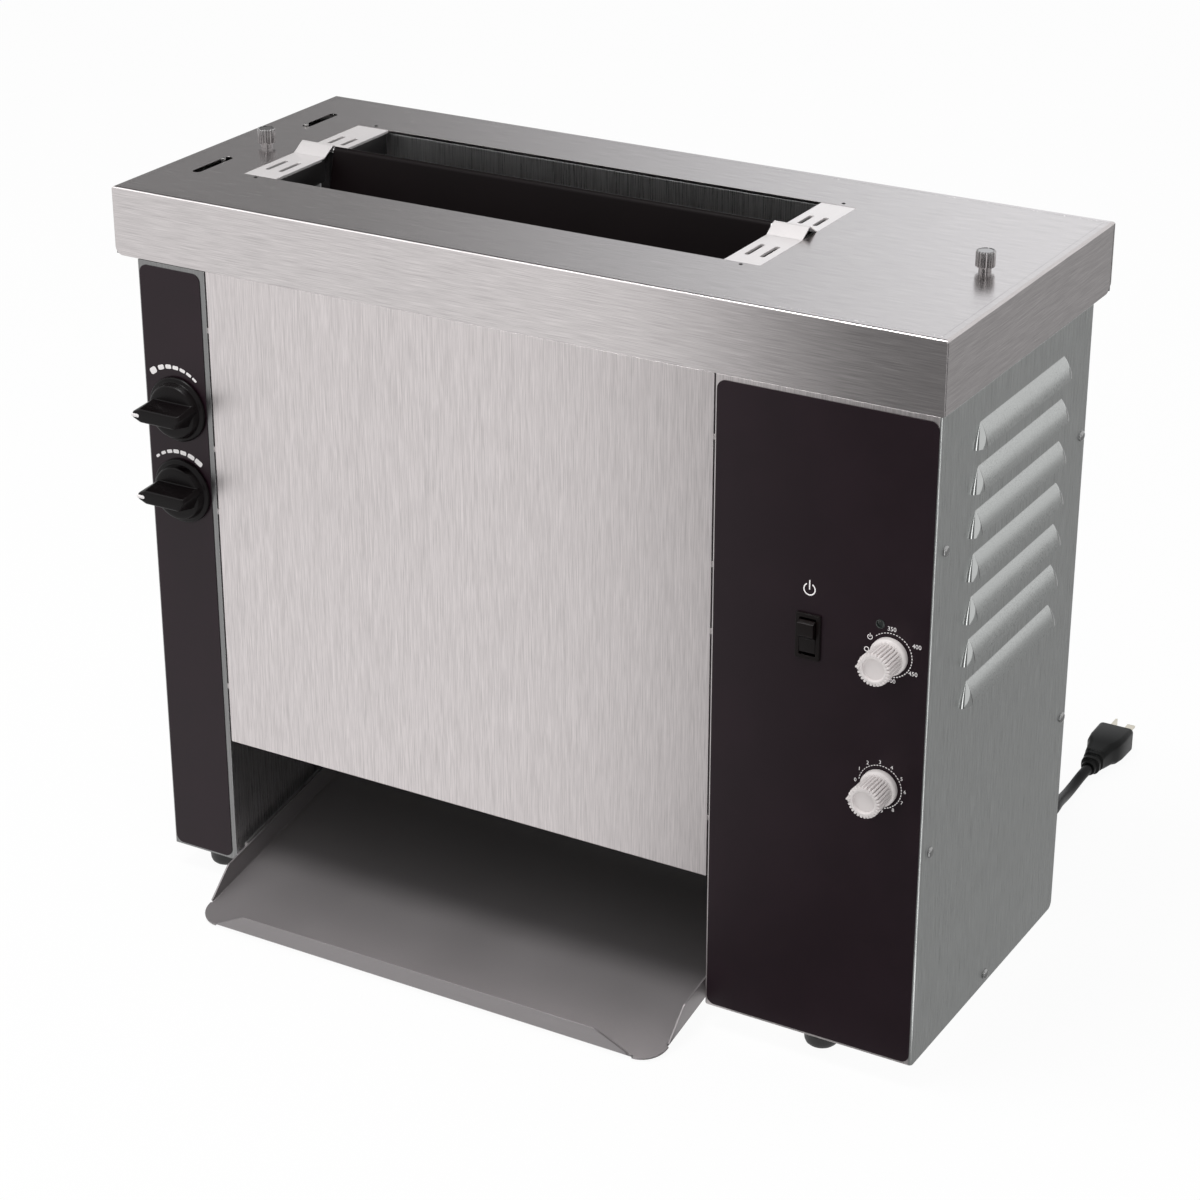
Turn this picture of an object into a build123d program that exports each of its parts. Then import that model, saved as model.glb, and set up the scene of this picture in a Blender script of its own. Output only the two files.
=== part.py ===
"""Conveyor toaster that browns split buns against a vertical hot platen.

The cabinet stands on four feet. X runs to the right, Y to the back and Z up, and the
origin is under the middle of the object on the surface that it stands on. All lengths
are in millimetres and all angles in degrees.
"""

import os
from math import acos, atan2, cos, hypot, pi, radians, sin, tan

from build123d import *

os.makedirs("parts", exist_ok=True)

# ---------------------------------------------------------------- driving dimensions

# Sheet metal
sheet = 1.2
seam = 0.4

# Lid
lid_width = 620.0
lid_overhang_rear = 29.6
lid_skirt = 48.5
lid_overhang_left = 18.7
lid_corner = 2.5
opening_front = 69.0
opening_rear = 208.5
opening_past_knob_wall = 14.0
opening_past_throat = 26.0

# Cabinet
cabinet_height = 504.0
cabinet_depth = 238.4
lid_depth = cabinet_depth + lid_overhang_rear
knob_housing_width = 55.9
control_housing_width = 153.2
bay_opening_height = 99.2
panel_gap = 1.3
panel_hem = 14.0
base_flange = 14.0
return_flange = 22.0
vent_gap = 8.0
tray_well = 62.0
vent_slot = (6.0, 42.0)
vent_pitch = 14.0
vent_margin = 30.0
vent_drop = 90.0
flange_lap = 2.0
side_panel_corner = 5.0
hook_drops = (132.7, 168.0, 195.0)
hook_size = (6.0, 5.0)
hook_inset = 2.0
bar_slot_clear = 3.0

# Feet
foot_height = 19.0
foot_radius = 12.0
foot_inset = 24.0
foot_round = 4.0

# Louvres in the right side panel
louvre_count = 7
louvre_pitch = 29.45
louvre_depth = 5.5
louvre_height = 16.0
louvre_front = 47.8
louvre_rear = 200.4
louvre_top = 69.6

# Screws
screw_radius = 1.9
screw_head_radius = 3.7
screw_head_height = 2.2
screw_hole = 2.1
screw_length = 6.0
side_screw_inset = 12.2
side_screw_rear = 6.5
side_screw_drops = (139.0, 349.0)
side_screw_rise = 7.3
back_screw_inset = 7.0
back_screw_rise = 60.0
back_screw_drop = 60.0
thumb_screw_left = 36.0
thumb_screw_right_inset = 33.0
thumb_screw_y = 130.1
thumb_head_radius = 6.3
thumb_head_height = 10.5
thumb_neck_radius = 4.2
thumb_neck_height = 3.2
thumb_thread_radius = 3.0
thumb_thread_length = 20.0
thumb_flutes = 24
thumb_flute_radius = 0.75
thumb_flute_offset = 0.35
thumb_chamfer = 0.6
thumb_tab_width = 28.0
thumb_tab_drop = 4.0
thumb_tab_past_left = 12.0
thumb_tab_past_right = 13.0
thumb_nut_radius = 6.0
thumb_nut_depth = 7.0

# Overlays on the two housings
overlay_thickness = 0.5
overlay_corner = 6.0
overlay_edge = 1.0
overlay_knob_gap = 4.1
overlay_top_gap = 3.4
overlay_foot_gap = 1.6

# Throat between the belts and its end plates
throat_gap_left = 12.4
throat_gap_right = 32.3
plate_lap = 5.0
plate_relief = 2.0
plate_rivet_inset = 3.4
plate_rivet_inset_rear = 5.0
end_sheet = 0.8
plate_rivet_radius = 1.6
plate_rivet_head = 2.6
plate_rivet_rise = 1.0
roof_height = 7.8
roof_half_width = 11.6
roof_inset = 0.7
end_flange = 15.0
end_flange_inset = 3.0
plate_slot_width = 3.5
plate_slot_pitch = 10.9
plate_slots = ((85.0, 109.5), (160.0, 180.0))

# Platen and release sheet
platen_y = 139.5
platen_thickness = 18.5
platen_bottom = 150.0
platen_drop = 20.0
platen_chamfer = 6.0
heater_count = 4
heater_radius = 5.0
heater_overhang = 12.0
platen_end_gap = 1.0
bracket_half_width = 6.0
bracket_rise = 30.0
bracket_drop = 10.0
cradle_half_width = 4.2
cradle_near = 6.5
cradle_far = 14.0
sheet_rod_radius = 2.5
sheet_rod_rise = 2.2
sheet_rod_overhang = 23.0
release_thickness = 0.7
release_margin = 3.0

# Conveyors
drive_z = 148.0
idler_drop = 75.0
roller_radius = 19.0
shaft_radius = 6.0
belt_thickness = 2.0
running_gap = 0.3
fit = 0.05
belt_side_gap = 4.0
side_plate = 2.5
side_plate_gap = 4.5
side_plate_half_width = 18.0
tie_radius = 4.0
tie_rows = (0.25, 0.5, 0.75)
pressure_plate = 2.0
pressure_gap = 1.0
crown_tilt = (-0.75, 3.75)
heel_tilt = (0.0, 4.5)
bush_radius = 9.0
bush_flange = 11.0
bush_reach = 4.0
bush_past_wall = 1.0
shaft_past_wall = 5.0
shaft_past_gear = 2.0
idler_stub = 2.0

# Guides and chute under the top opening
guide_sheet = 1.0
guide_gap = 0.5
front_guide = ((0.5, 22.0), (26.0, 49.0))
rear_guide = ((1.0, 36.0), (-9.0, 50.0))
chute_front = (135.0, 63.0)
chute_rise = 44.0
chute_flange = 14.0

# Gears on the right ends of the drive shafts
gear_module = 2.5
gear_teeth = 36
pinion_teeth = 20
gear_width = 8.0
gear_backlash = 0.7
gear_standoff = 6.0
pinion_bearing_angle = 110.0
gear_holes = 5
pressure_angle = 20.0
motor_gap = 2.0
motor_plate_half = 38.0
motor_plate = 3.0
gearbox_radius = 33.0
gearbox_length = 34.0
motor_radius = 29.0
motor_length = 70.0
motor_shaft = 4.0
motor_post = 4.5

# Adjusters in the knob housing
heel_knob_z = 370.0
crown_knob_z = 309.0
knob_shaft_x = 46.4
indicator_x = 29.0
indicator_radius = 1.7
indicator_rise = 1.6
adjust_screw_radius = 6.0
adjust_screw_play = 1.5
journal_radius = 4.0
nut_half_height = 11.0
bar_half = 6.0
crown_pin_y = 88.3
heel_pin_y = 188.6
indicator_slot_width = 4.2
crown_slot = (54.7, 96.8)
heel_slot = (186.0, 225.5)

bush_outer = 8.0
bush_inner = 6.0
bush_collar = 2.0
bush_collar_lap = 2.5
support_plate = 4.0
support_margin = 5.0
screw_past_nut = 24.0

# Black pointer knobs
knob_gap = 0.4
knob_skirt_radius = 23.5
knob_skirt_height = 2.6
knob_hub_radius = 18.5
knob_hub_height = 11.0
knob_tip_reach = 21.5
knob_tip_half = 3.4
knob_tail_reach = 22.5
knob_bar_half = 7.5
knob_tip_taper = 5.0
knob_draft = 3.0
knob_reach = 24.5
knob_socket = 12.0

# Light control knobs
dial_knob_skirt = 12.5
dial_knob_skirt_height = 5.0
dial_knob_radius = 10.6
dial_knob_length = 24.5
dial_knob_flutes = 36
dial_flute_radius = 0.62
dial_flute_offset = 0.25
dial_knob_round = 1.2
dial_shaft_radius = 3.0
dial_shaft_depth = 8.0
dial_body = 11.5
dial_dish_radius = 6.9
dial_dish_depth = 1.2
dial_bush_radius = 4.7
temperature_inset = 27.8
temperature_z = 311.9
speed_inset = 30.7
speed_z = 218.8

# Power switch and lamp
switch_inset = 84.3
switch_z = 311.7
switch_width = 17.4
switch_height = 31.5
switch_wall = 1.8
switch_depth = 20.0
switch_flange = 1.6
switch_lap = 1.0
rocker_tilt = 8.0
rocker_pivot = 1.5
rocker_pin = 1.5
rocker_half = 12.0
rocker_front = 4.2
rocker_waist = 2.6
rocker_back = 6.0
rocker_shoulder = 1.5
rocker_foot_half = 4.0
rocker_pin_reach = 1.0
lamp_rise = 1.6
lamp_inset = 35.1
lamp_z = 331.7
lamp_radius = 3.0
lamp_depth = 14.0
lamp_collar = 3.0
lamp_collar_lap = 2.0

# Catch tray
tray_slope = 11.0
tray_side_gap = 5.6
tray_foot_reach = 60.0
tray_ground_gap = 1.0
tray_lip = 17.0
tray_end = 150.0
tray_corner = 18.0
tray_lip_taper = 28.0
tray_flange_start = 19.0
tray_flange_full = 45.0
tray_bend = 6.0
rail_front = 14.0
rail_rear = 145.0
rail_lap = 8.0
rail_height = 14.0

# Cooling fan in the control housing
fan_size = 80.0
fan_depth = 25.0
fan_axle = 1.5
fan_blades = 7
fan_chord = 16.0
fan_pitch = 35.0
fan_blade_thickness = 1.4
fan_drop = 140.0
fan_hub = 15.0
fan_bore = 37.0
fan_strut = 2.5
fan_strut_depth = 3.0
fan_strut_lap = 1.0
fan_rotor_gap = 2.0
fan_blade_gap = 0.5

# Control board, in the control housing: places from the cabinet's front and heights
board_standoff = 8.0
board_thickness = 1.6
board_span = (120.0, 205.0)
board_z = (270.0, 390.0)
board_post = 3.0
board_post_inset = 6.0
board_parts = (
    ((135.0, 160.0), (290.0, 322.0), 22.0),
    ((170.0, 195.0), (282.0, 300.0), 16.0),
    ((172.0, 192.0), (312.0, 345.0), 14.0),
    ((130.0, 155.0), (340.0, 378.0), 12.0),
)

# Cord
cord_diameter = 8.4
cord_inset = 65.5
gland_z = 31.0
gland_length = 27.0
gland_root = 7.4
gland_wall = 1.4
gland_clear = 0.1
gland_collar = 3.0
gland_collar_lap = 2.5
gland_nut = 4.0
gland_nut_lap = 1.5
coil_radius = 42.2
coil_y = 362.0
coil_turns_wide = 3
coil_layers = 2
floor_gap = 0.2

# Plug
plug_relief = 12.0
plug_relief_radius = 8.0
plug_width = 29.0
plug_height = 20.0
plug_length = 48.0
plug_mid_z = 11.2
plug_round = 6.0
blade_z = 14.6
blade_spread = 6.35
blade_width = 6.35
blade_thickness = 1.5
blade_length = 17.0
ground_drop = 9.0
ground_radius = 2.4
ground_past_blades = 2.0

# ---------------------------------------------------------------- derived places

tray_reach = tray_foot_reach + tray_lip * sin(radians(tray_slope))
left = -(lid_width + louvre_depth) / 2
right = left + lid_width
front = (tray_reach - lid_depth) / 2
rear = front + lid_depth
top = foot_height + cabinet_height
lid_under = top - sheet
skirt_bottom = top - lid_skirt
housing_top = skirt_bottom - seam

cab_left = left + lid_overhang_left
cab_back = front + cabinet_depth
back_inner = cab_back - sheet
knob_wall = cab_left + knob_housing_width
control_wall = right - control_housing_width
base_top = foot_height + sheet
front_inner = front + sheet

throat_left = knob_wall + throat_gap_left
throat_right = control_wall - throat_gap_right
belt_left = throat_left + belt_side_gap
belt_right = throat_right - belt_side_gap
hot_y = front + platen_y

gear_pitch_radius = gear_module * gear_teeth / 2
pinion_pitch_radius = gear_module * pinion_teeth / 2
crown_y = hot_y - gear_pitch_radius
heel_y = hot_y + gear_pitch_radius
idler_z = top - idler_drop
belt_inner = roller_radius + running_gap
belt_outer = belt_inner + belt_thickness
gear_left = control_wall + sheet + gear_standoff
gear_right = gear_left + gear_width
shaft_left = knob_wall - sheet - shaft_past_wall
shaft_right = gear_right + shaft_past_gear
motor_left = shaft_right + motor_gap

platen_top = top - platen_drop
platen_left = belt_left + platen_end_gap
platen_right = belt_right - platen_end_gap
sheet_rod_z = top + sheet_rod_rise

knob_x = left + knob_shaft_x
pin_x = left + indicator_x
temperature_x = right - temperature_inset
speed_x = right - speed_inset
switch_x = right - switch_inset
lamp_x = right - lamp_inset
cord_x = right - cord_inset
thumb_screw_xs = (left + thumb_screw_left, right - thumb_screw_right_inset)

tray_left = knob_wall + tray_side_gap
tray_right = control_wall - tray_side_gap
tray_mid = (tray_left + tray_right) / 2
tray_origin = (tray_mid, front - tray_foot_reach, tray_ground_gap)
tray_normal = (0, -sin(radians(tray_slope)), cos(radians(tray_slope)))
tray_plane = Plane(origin=tray_origin, x_dir=(1, 0, 0), z_dir=tray_normal)
tray_length = (tray_end + tray_foot_reach) / cos(radians(tray_slope))


# ---------------------------------------------------------------- helpers

def slab(x, y, z, mode=Mode.ADD):
    """A box between two x, two y and two z values."""
    with Locations((x[0], y[0], z[0])):
        Box(x[1] - x[0], y[1] - y[0], z[1] - z[0], align=(Align.MIN,) * 3, mode=mode)


def bar_x(y, z, x, radius, mode=Mode.ADD):
    """A cylinder along X between two x values."""
    with Locations(Plane(origin=(x[0], y, z), x_dir=(0, 1, 0), z_dir=(1, 0, 0))):
        Cylinder(radius, x[1] - x[0], align=(Align.CENTER, Align.CENTER, Align.MIN), mode=mode)


def bar_y(x, z, y, radius, mode=Mode.ADD):
    """A cylinder along Y between two y values."""
    with Locations(Plane(origin=(x, y[0], z), x_dir=(1, 0, 0), z_dir=(0, 1, 0))):
        Cylinder(radius, y[1] - y[0], align=(Align.CENTER, Align.CENTER, Align.MIN), mode=mode)


def bar_z(x, y, z, radius, mode=Mode.ADD):
    """A cylinder along Z between two z values."""
    with Locations((x, y, z[0])):
        Cylinder(radius, z[1] - z[0], align=(Align.CENTER, Align.CENTER, Align.MIN), mode=mode)


def facing_front(y):
    """A sketch plane at a y value, seen from the front: local x is X and local y is Z."""
    return Plane(origin=(0, y, 0), x_dir=(1, 0, 0), z_dir=(0, -1, 0))


def write(piece, label):
    """Label a finished piece and write it to its own STEP file."""
    piece.label = label
    export_step(piece, f"parts/{label}.step")


# Screws that hold the side panels: (y, z), the same on both sides
side_screw_rows = [top - drop for drop in side_screw_drops]
side_screw_places = [(front + side_screw_inset, z) for z in side_screw_rows]
side_screw_places += [(cab_back - side_screw_rear, z) for z in side_screw_rows]
side_screw_places += [((front + cab_back) / 2, foot_height + side_screw_rise)]

# Screws that hold the back panel: (x, z)
back_screw_places = [
    (x, z)
    for x in (knob_wall - sheet - back_screw_inset, control_wall + sheet + back_screw_inset)
    for z in (foot_height + back_screw_rise, top - back_screw_drop)
]

# ---------------------------------------------------------------- cabinet

with BuildPart() as base_pan:
    slab((cab_left + sheet, right - sheet), (front_inner, back_inner), (foot_height, base_top))
    slab((knob_wall, control_wall), (front_inner, front + tray_well), (foot_height, base_top),
         mode=Mode.SUBTRACT)
    for x in (cab_left + sheet, right - 2 * sheet):
        slab((x, x + sheet), (front + return_flange + flange_lap, back_inner - return_flange),
             (base_top, foot_height + base_flange))
    for y, z in side_screw_places[-1:]:
        bar_x(y, z, (cab_left, right), screw_hole, mode=Mode.SUBTRACT)
write(base_pan.part, "base_pan")

# Travel of the adjuster bars, which pass through slots in the knob housing's inner wall
crown_arm = crown_knob_z - drive_z
heel_arm = heel_knob_z - drive_z
crown_travel = [-crown_arm * sin(radians(tilt)) for tilt in reversed(crown_tilt)]
heel_travel = [heel_arm * sin(radians(tilt)) for tilt in heel_tilt]
tab_z = lid_under - thumb_tab_drop
tab_y = (front + thumb_screw_y - thumb_tab_width / 2, front + thumb_screw_y + thumb_tab_width / 2)

with BuildPart() as knob_housing:
    slab((cab_left, knob_wall), (front, front_inner), (foot_height, housing_top))
    slab((knob_wall - sheet, knob_wall), (front, back_inner), (base_top, lid_under))
    slab((knob_wall - sheet, knob_wall), (front, front_inner + 1), (housing_top, lid_under),
         mode=Mode.SUBTRACT)
    # relief for the end plate under the lid
    slab((knob_wall - sheet, knob_wall),
         (front + opening_front - 2 * plate_lap - plate_relief,
          front + opening_rear + 2 * plate_lap + plate_relief),
         (lid_under - thumb_tab_drop, lid_under), mode=Mode.SUBTRACT)
    # front return behind the side panel and rear return on the back panel
    slab((cab_left + sheet, cab_left + 2 * sheet), (front_inner, front + return_flange),
         (base_top, housing_top))
    slab((knob_wall - 2 * back_screw_inset - sheet, knob_wall),
         (back_inner - sheet, back_inner), (base_top, lid_under - vent_gap))
    # tab for the thumb screw, with its weld nut
    slab((thumb_screw_xs[0] - thumb_tab_past_left, knob_wall), tab_y, (tab_z - sheet, tab_z))
    bar_z(thumb_screw_xs[0], front + thumb_screw_y, (tab_z - thumb_nut_depth, tab_z),
          thumb_nut_radius)
    bar_z(thumb_screw_xs[0], front + thumb_screw_y, (tab_z - thumb_nut_depth - 1, tab_z + 1),
          thumb_thread_radius + fit, mode=Mode.SUBTRACT)
    # slots for the adjuster bars
    for axis_y, knob_z, travel in (
        (crown_y, crown_knob_z, crown_travel),
        (heel_y, heel_knob_z, heel_travel),
    ):
        slab((knob_wall - sheet, knob_wall),
             (axis_y + travel[0] - bar_half - bar_slot_clear,
              axis_y + travel[1] + bar_half + bar_slot_clear),
             (knob_z - bar_half - bar_slot_clear, knob_z + bar_half + bar_slot_clear),
             mode=Mode.SUBTRACT)
        # hole for the screw's front bush and for the drive shaft's bush
        bar_y(knob_x, knob_z, (front - 1, front_inner + 1), bush_outer, mode=Mode.SUBTRACT)
        bar_x(axis_y, drive_z, (knob_wall - sheet, knob_wall), bush_radius, mode=Mode.SUBTRACT)
    for y, z in side_screw_places[:2]:
        bar_x(y, z, (cab_left, cab_left + 3 * sheet), screw_hole, mode=Mode.SUBTRACT)
    bar_y(back_screw_places[0][0], back_screw_places[0][1], (back_inner - 3, cab_back),
          screw_hole, mode=Mode.SUBTRACT)
    bar_y(back_screw_places[1][0], back_screw_places[1][1], (back_inner - 3, cab_back),
          screw_hole, mode=Mode.SUBTRACT)
write(knob_housing.part, "knob_housing")

dial_places = ((temperature_x, temperature_z), (speed_x, speed_z))

with BuildPart() as control_housing:
    slab((control_wall, right), (front, front_inner), (foot_height, housing_top))
    slab((control_wall, control_wall + sheet), (front, back_inner), (base_top, lid_under))
    slab((control_wall, control_wall + sheet), (front, front_inner + 1),
         (housing_top, lid_under), mode=Mode.SUBTRACT)
    slab((right - 2 * sheet, right - sheet), (front_inner, front + return_flange),
         (base_top, housing_top))
    slab((control_wall, control_wall + sheet + 2 * back_screw_inset),
         (back_inner - sheet, back_inner), (base_top, lid_under - vent_gap))
    slab((control_wall, thumb_screw_xs[1] + thumb_tab_past_right), tab_y,
         (tab_z - sheet, tab_z))
    bar_z(thumb_screw_xs[1], front + thumb_screw_y, (tab_z - thumb_nut_depth, tab_z),
          thumb_nut_radius)
    bar_z(thumb_screw_xs[1], front + thumb_screw_y, (tab_z - thumb_nut_depth - 1, tab_z + 1),
          thumb_thread_radius + fit, mode=Mode.SUBTRACT)
    for x, z in dial_places:
        bar_y(x, z, (front - 1, front_inner + 1), dial_bush_radius, mode=Mode.SUBTRACT)
    bar_y(lamp_x, lamp_z, (front - 1, front_inner + 1), lamp_radius, mode=Mode.SUBTRACT)
    slab((switch_x - switch_width / 2 + switch_lap, switch_x + switch_width / 2 - switch_lap),
         (front - 1, front_inner + 1),
         (switch_z - switch_height / 2 + switch_lap, switch_z + switch_height / 2 - switch_lap),
         mode=Mode.SUBTRACT)
    for axis_y in (crown_y, heel_y):
        bar_x(axis_y, drive_z, (control_wall, control_wall + sheet), bush_radius,
              mode=Mode.SUBTRACT)
    for y, z in side_screw_places[:2]:
        bar_x(y, z, (right - 3 * sheet, right), screw_hole, mode=Mode.SUBTRACT)
    for x, z in back_screw_places[2:]:
        bar_y(x, z, (back_inner - 3, cab_back), screw_hole, mode=Mode.SUBTRACT)
write(control_housing.part, "control_housing")

with BuildPart() as left_side_panel:
    slab((cab_left, cab_left + sheet), (front_inner, cab_back), (foot_height, lid_under))
    for y, z in side_screw_places:
        bar_x(y, z, (cab_left - 1, cab_left + 2), screw_hole, mode=Mode.SUBTRACT)
write(left_side_panel.part, "left_side_panel")


def louvre_hood(depth, height, span):
    """A hood with a quarter ellipse for its section and rounded noses, open below."""
    middle = front + (louvre_front + louvre_rear) / 2
    with BuildPart() as hood:
        for y, turn in ((middle - span / 2, -1), (middle + span / 2, 1)):
            section = Plane(origin=(right, y, 0), x_dir=(1, 0, 0), z_dir=(0, -1, 0))
            with BuildSketch(section) as profile:
                with BuildLine():
                    Spline([(depth * cos(radians(angle)), height * sin(radians(angle)))
                            for angle in range(0, 91, 15)], tangents=[(0, 1), (-1, 0)])
                    Line((0, height), (0, 0))
                    Line((0, 0), (depth, 0))
                make_face()
            if turn < 0:
                extrude(amount=-span)
                add(profile.sketch)
            revolve(axis=Axis((right, y, 0), (0, 0, turn)), revolution_arc=90)
    return hood.part


louvre_span = louvre_rear - louvre_front - 2 * louvre_depth
hood_outside = louvre_hood(louvre_depth, louvre_height, louvre_span)
hood_inside = louvre_hood(louvre_depth - sheet, louvre_height - sheet, louvre_span)

with BuildPart() as right_side_panel:
    slab((right - sheet, right), (front_inner, cab_back), (foot_height, skirt_bottom))
    fillet(right_side_panel.edges().filter_by(Axis.X).group_by(Axis.Z)[0].sort_by(Axis.Y)[-1:],
           radius=side_panel_corner)
    for row in range(louvre_count):
        z = top - louvre_top - row * louvre_pitch - louvre_height
        add(hood_outside.moved(Location((0, 0, z))))
        add(hood_inside.moved(Location((0, 0, z))), mode=Mode.SUBTRACT)
        slab((right - sheet, right), (front + louvre_front + louvre_depth,
                                      front + louvre_rear - louvre_depth),
             (z, z + louvre_height - 2 * sheet), mode=Mode.SUBTRACT)
    for y, z in side_screw_places:
        bar_x(y, z, (right - 2, right + 1), screw_hole, mode=Mode.SUBTRACT)
write(right_side_panel.part, "right_side_panel")

fan_x = (control_wall + right) / 2
fan_z = top - fan_drop

with BuildPart() as back_panel:
    slab((cab_left + sheet, right - sheet), (back_inner, cab_back),
         (foot_height, lid_under - vent_gap))
    # side returns that the side panels are screwed to
    for x in (cab_left + sheet, right - 2 * sheet):
        slab((x, x + sheet), (back_inner - return_flange + flange_lap, back_inner),
             (base_top, housing_top))
    for y, z in side_screw_places[2:4]:
        bar_x(y, z, (cab_left, right), screw_hole, mode=Mode.SUBTRACT)
    # vents behind the bay and behind the fan
    bay_vents = int((control_wall - knob_wall - 2 * vent_margin) // vent_pitch)
    fan_vents = int(fan_size // vent_pitch)
    with BuildSketch(facing_front(cab_back + 1)):
        with Locations(((knob_wall + control_wall) / 2, top - vent_drop)):
            with GridLocations(vent_pitch, 0, bay_vents, 1):
                SlotOverall(vent_slot[1], vent_slot[0], rotation=90)
        with Locations((fan_x, fan_z)):
            with GridLocations(vent_pitch, 0, fan_vents, 1):
                SlotOverall(vent_slot[1], vent_slot[0], rotation=90)
    extrude(amount=sheet + 2, mode=Mode.SUBTRACT)
    bar_y(cord_x, gland_z, (back_inner - 1, cab_back + 1), gland_root + gland_clear,
          mode=Mode.SUBTRACT)
    for x, z in back_screw_places:
        bar_y(x, z, (back_inner - 1, cab_back + 1), screw_hole, mode=Mode.SUBTRACT)
write(back_panel.part, "back_panel")

panel_left = knob_wall + panel_gap
panel_right = control_wall - panel_gap
panel_bottom = foot_height + bay_opening_height
hook_rows = [top - drop for drop in hook_drops]

with BuildPart() as front_panel:
    slab((panel_left, panel_right), (front, front_inner), (panel_bottom, housing_top))
    for x in (panel_left, panel_right - sheet):
        slab((x, x + sheet), (front_inner, front + panel_hem), (panel_bottom, housing_top))
    slab((panel_left, panel_right), (front_inner, front + panel_hem),
         (panel_bottom, panel_bottom + sheet))
    # hooks that bear on the housings' walls
    for z in hook_rows:
        for x in (panel_left - panel_gap, panel_right):
            slab((x, x + panel_gap), (front + hook_inset, front + hook_inset + hook_size[0]),
                 (z - hook_size[1] / 2, z + hook_size[1] / 2))
write(front_panel.part, "front_panel")

with BuildPart() as knob_overlay:
    with BuildSketch(facing_front(front)):
        with Locations(((cab_left + overlay_edge + knob_wall - overlay_knob_gap) / 2,
                        (foot_height + overlay_foot_gap + skirt_bottom - overlay_top_gap) / 2)):
            RectangleRounded(knob_housing_width - overlay_edge - overlay_knob_gap,
                             skirt_bottom - overlay_top_gap - foot_height - overlay_foot_gap,
                             overlay_corner)
        with Locations((knob_x, heel_knob_z), (knob_x, crown_knob_z)):
            Circle(bush_outer, mode=Mode.SUBTRACT)
    extrude(amount=overlay_thickness)
write(knob_overlay.part, "knob_overlay")

with BuildPart() as control_overlay:
    with BuildSketch(facing_front(front)):
        with Locations(((control_wall + overlay_edge + right - 2 * overlay_edge) / 2,
                        (foot_height + overlay_foot_gap + skirt_bottom - overlay_top_gap) / 2)):
            RectangleRounded(control_housing_width - 3 * overlay_edge,
                             skirt_bottom - overlay_top_gap - foot_height - overlay_foot_gap,
                             overlay_corner)
        with Locations(*dial_places):
            Circle(dial_bush_radius, mode=Mode.SUBTRACT)
        with Locations((lamp_x, lamp_z)):
            Circle(lamp_radius, mode=Mode.SUBTRACT)
        with Locations((switch_x, switch_z)):
            Rectangle(switch_width - 2 * switch_lap, switch_height - 2 * switch_lap,
                      mode=Mode.SUBTRACT)
    extrude(amount=overlay_thickness)
write(control_overlay.part, "control_overlay")

foot_xs = ((cab_left + knob_wall) / 2, (control_wall + right) / 2)
foot_ys = (front + foot_inset, cab_back - foot_inset)

with BuildPart() as feet:
    for x in foot_xs:
        for y in foot_ys:
            bar_z(x, y, (0, foot_height), foot_radius)
    fillet(feet.edges().filter_by(GeomType.CIRCLE).group_by(Axis.Z)[0], radius=foot_round)
write(feet.part, "feet")

with BuildPart() as panel_screws:
    for y, z in side_screw_places:
        for x, way in ((cab_left, 1), (right, -1)):
            head = (x - screw_head_height, x) if way > 0 else (x, x + screw_head_height)
            shank = (x, x + screw_length) if way > 0 else (x - screw_length, x)
            bar_x(y, z, head, screw_head_radius)
            bar_x(y, z, shank, screw_radius)
    for x, z in back_screw_places:
        bar_y(x, z, (cab_back, cab_back + screw_head_height), screw_head_radius)
        bar_y(x, z, (cab_back - screw_length, cab_back), screw_radius)
write(panel_screws.part, "panel_screws")

# ---------------------------------------------------------------- lid

opening_left = knob_wall - opening_past_knob_wall
opening_right = throat_right + opening_past_throat
rivet_places = [
    (throat_left - opening_past_knob_wall, front + opening_front - plate_rivet_inset),
    (throat_left - opening_past_knob_wall, front + opening_rear + plate_rivet_inset_rear),
    (throat_right + opening_past_knob_wall, front + opening_front - plate_rivet_inset),
    (throat_right + opening_past_knob_wall, front + opening_rear + plate_rivet_inset_rear),
]
plate_under = lid_under - end_sheet
plate_front = front + opening_front - 2 * plate_lap
plate_rear = front + opening_rear + 2 * plate_lap

with BuildPart() as lid:
    slab((left, right), (front, rear), (skirt_bottom, top))
    fillet(lid.edges().filter_by(Axis.Z), radius=lid_corner)
    slab((left + sheet, right - sheet), (front + sheet, rear - sheet),
         (skirt_bottom, lid_under), mode=Mode.SUBTRACT)
    slab((opening_left, opening_right), (front + opening_front, front + opening_rear),
         (lid_under, top), mode=Mode.SUBTRACT)
    for ends in (crown_slot, heel_slot):
        with BuildSketch(Plane.XY.offset(top)):
            with Locations((pin_x, front + (ends[0] + ends[1]) / 2)):
                SlotOverall(ends[1] - ends[0], indicator_slot_width, rotation=90)
        extrude(amount=-sheet, mode=Mode.SUBTRACT)
    for x in thumb_screw_xs:
        bar_z(x, front + thumb_screw_y, (lid_under, top), thumb_thread_radius + running_gap,
              mode=Mode.SUBTRACT)
    for x, y in rivet_places:
        bar_z(x, y, (lid_under, top), plate_rivet_radius, mode=Mode.SUBTRACT)
write(lid.part, "lid")

roof_slope = roof_height / roof_half_width
roof_inner_height = roof_height - end_sheet * hypot(1, roof_slope)
roof_inner_half = roof_inner_height / roof_slope

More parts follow.
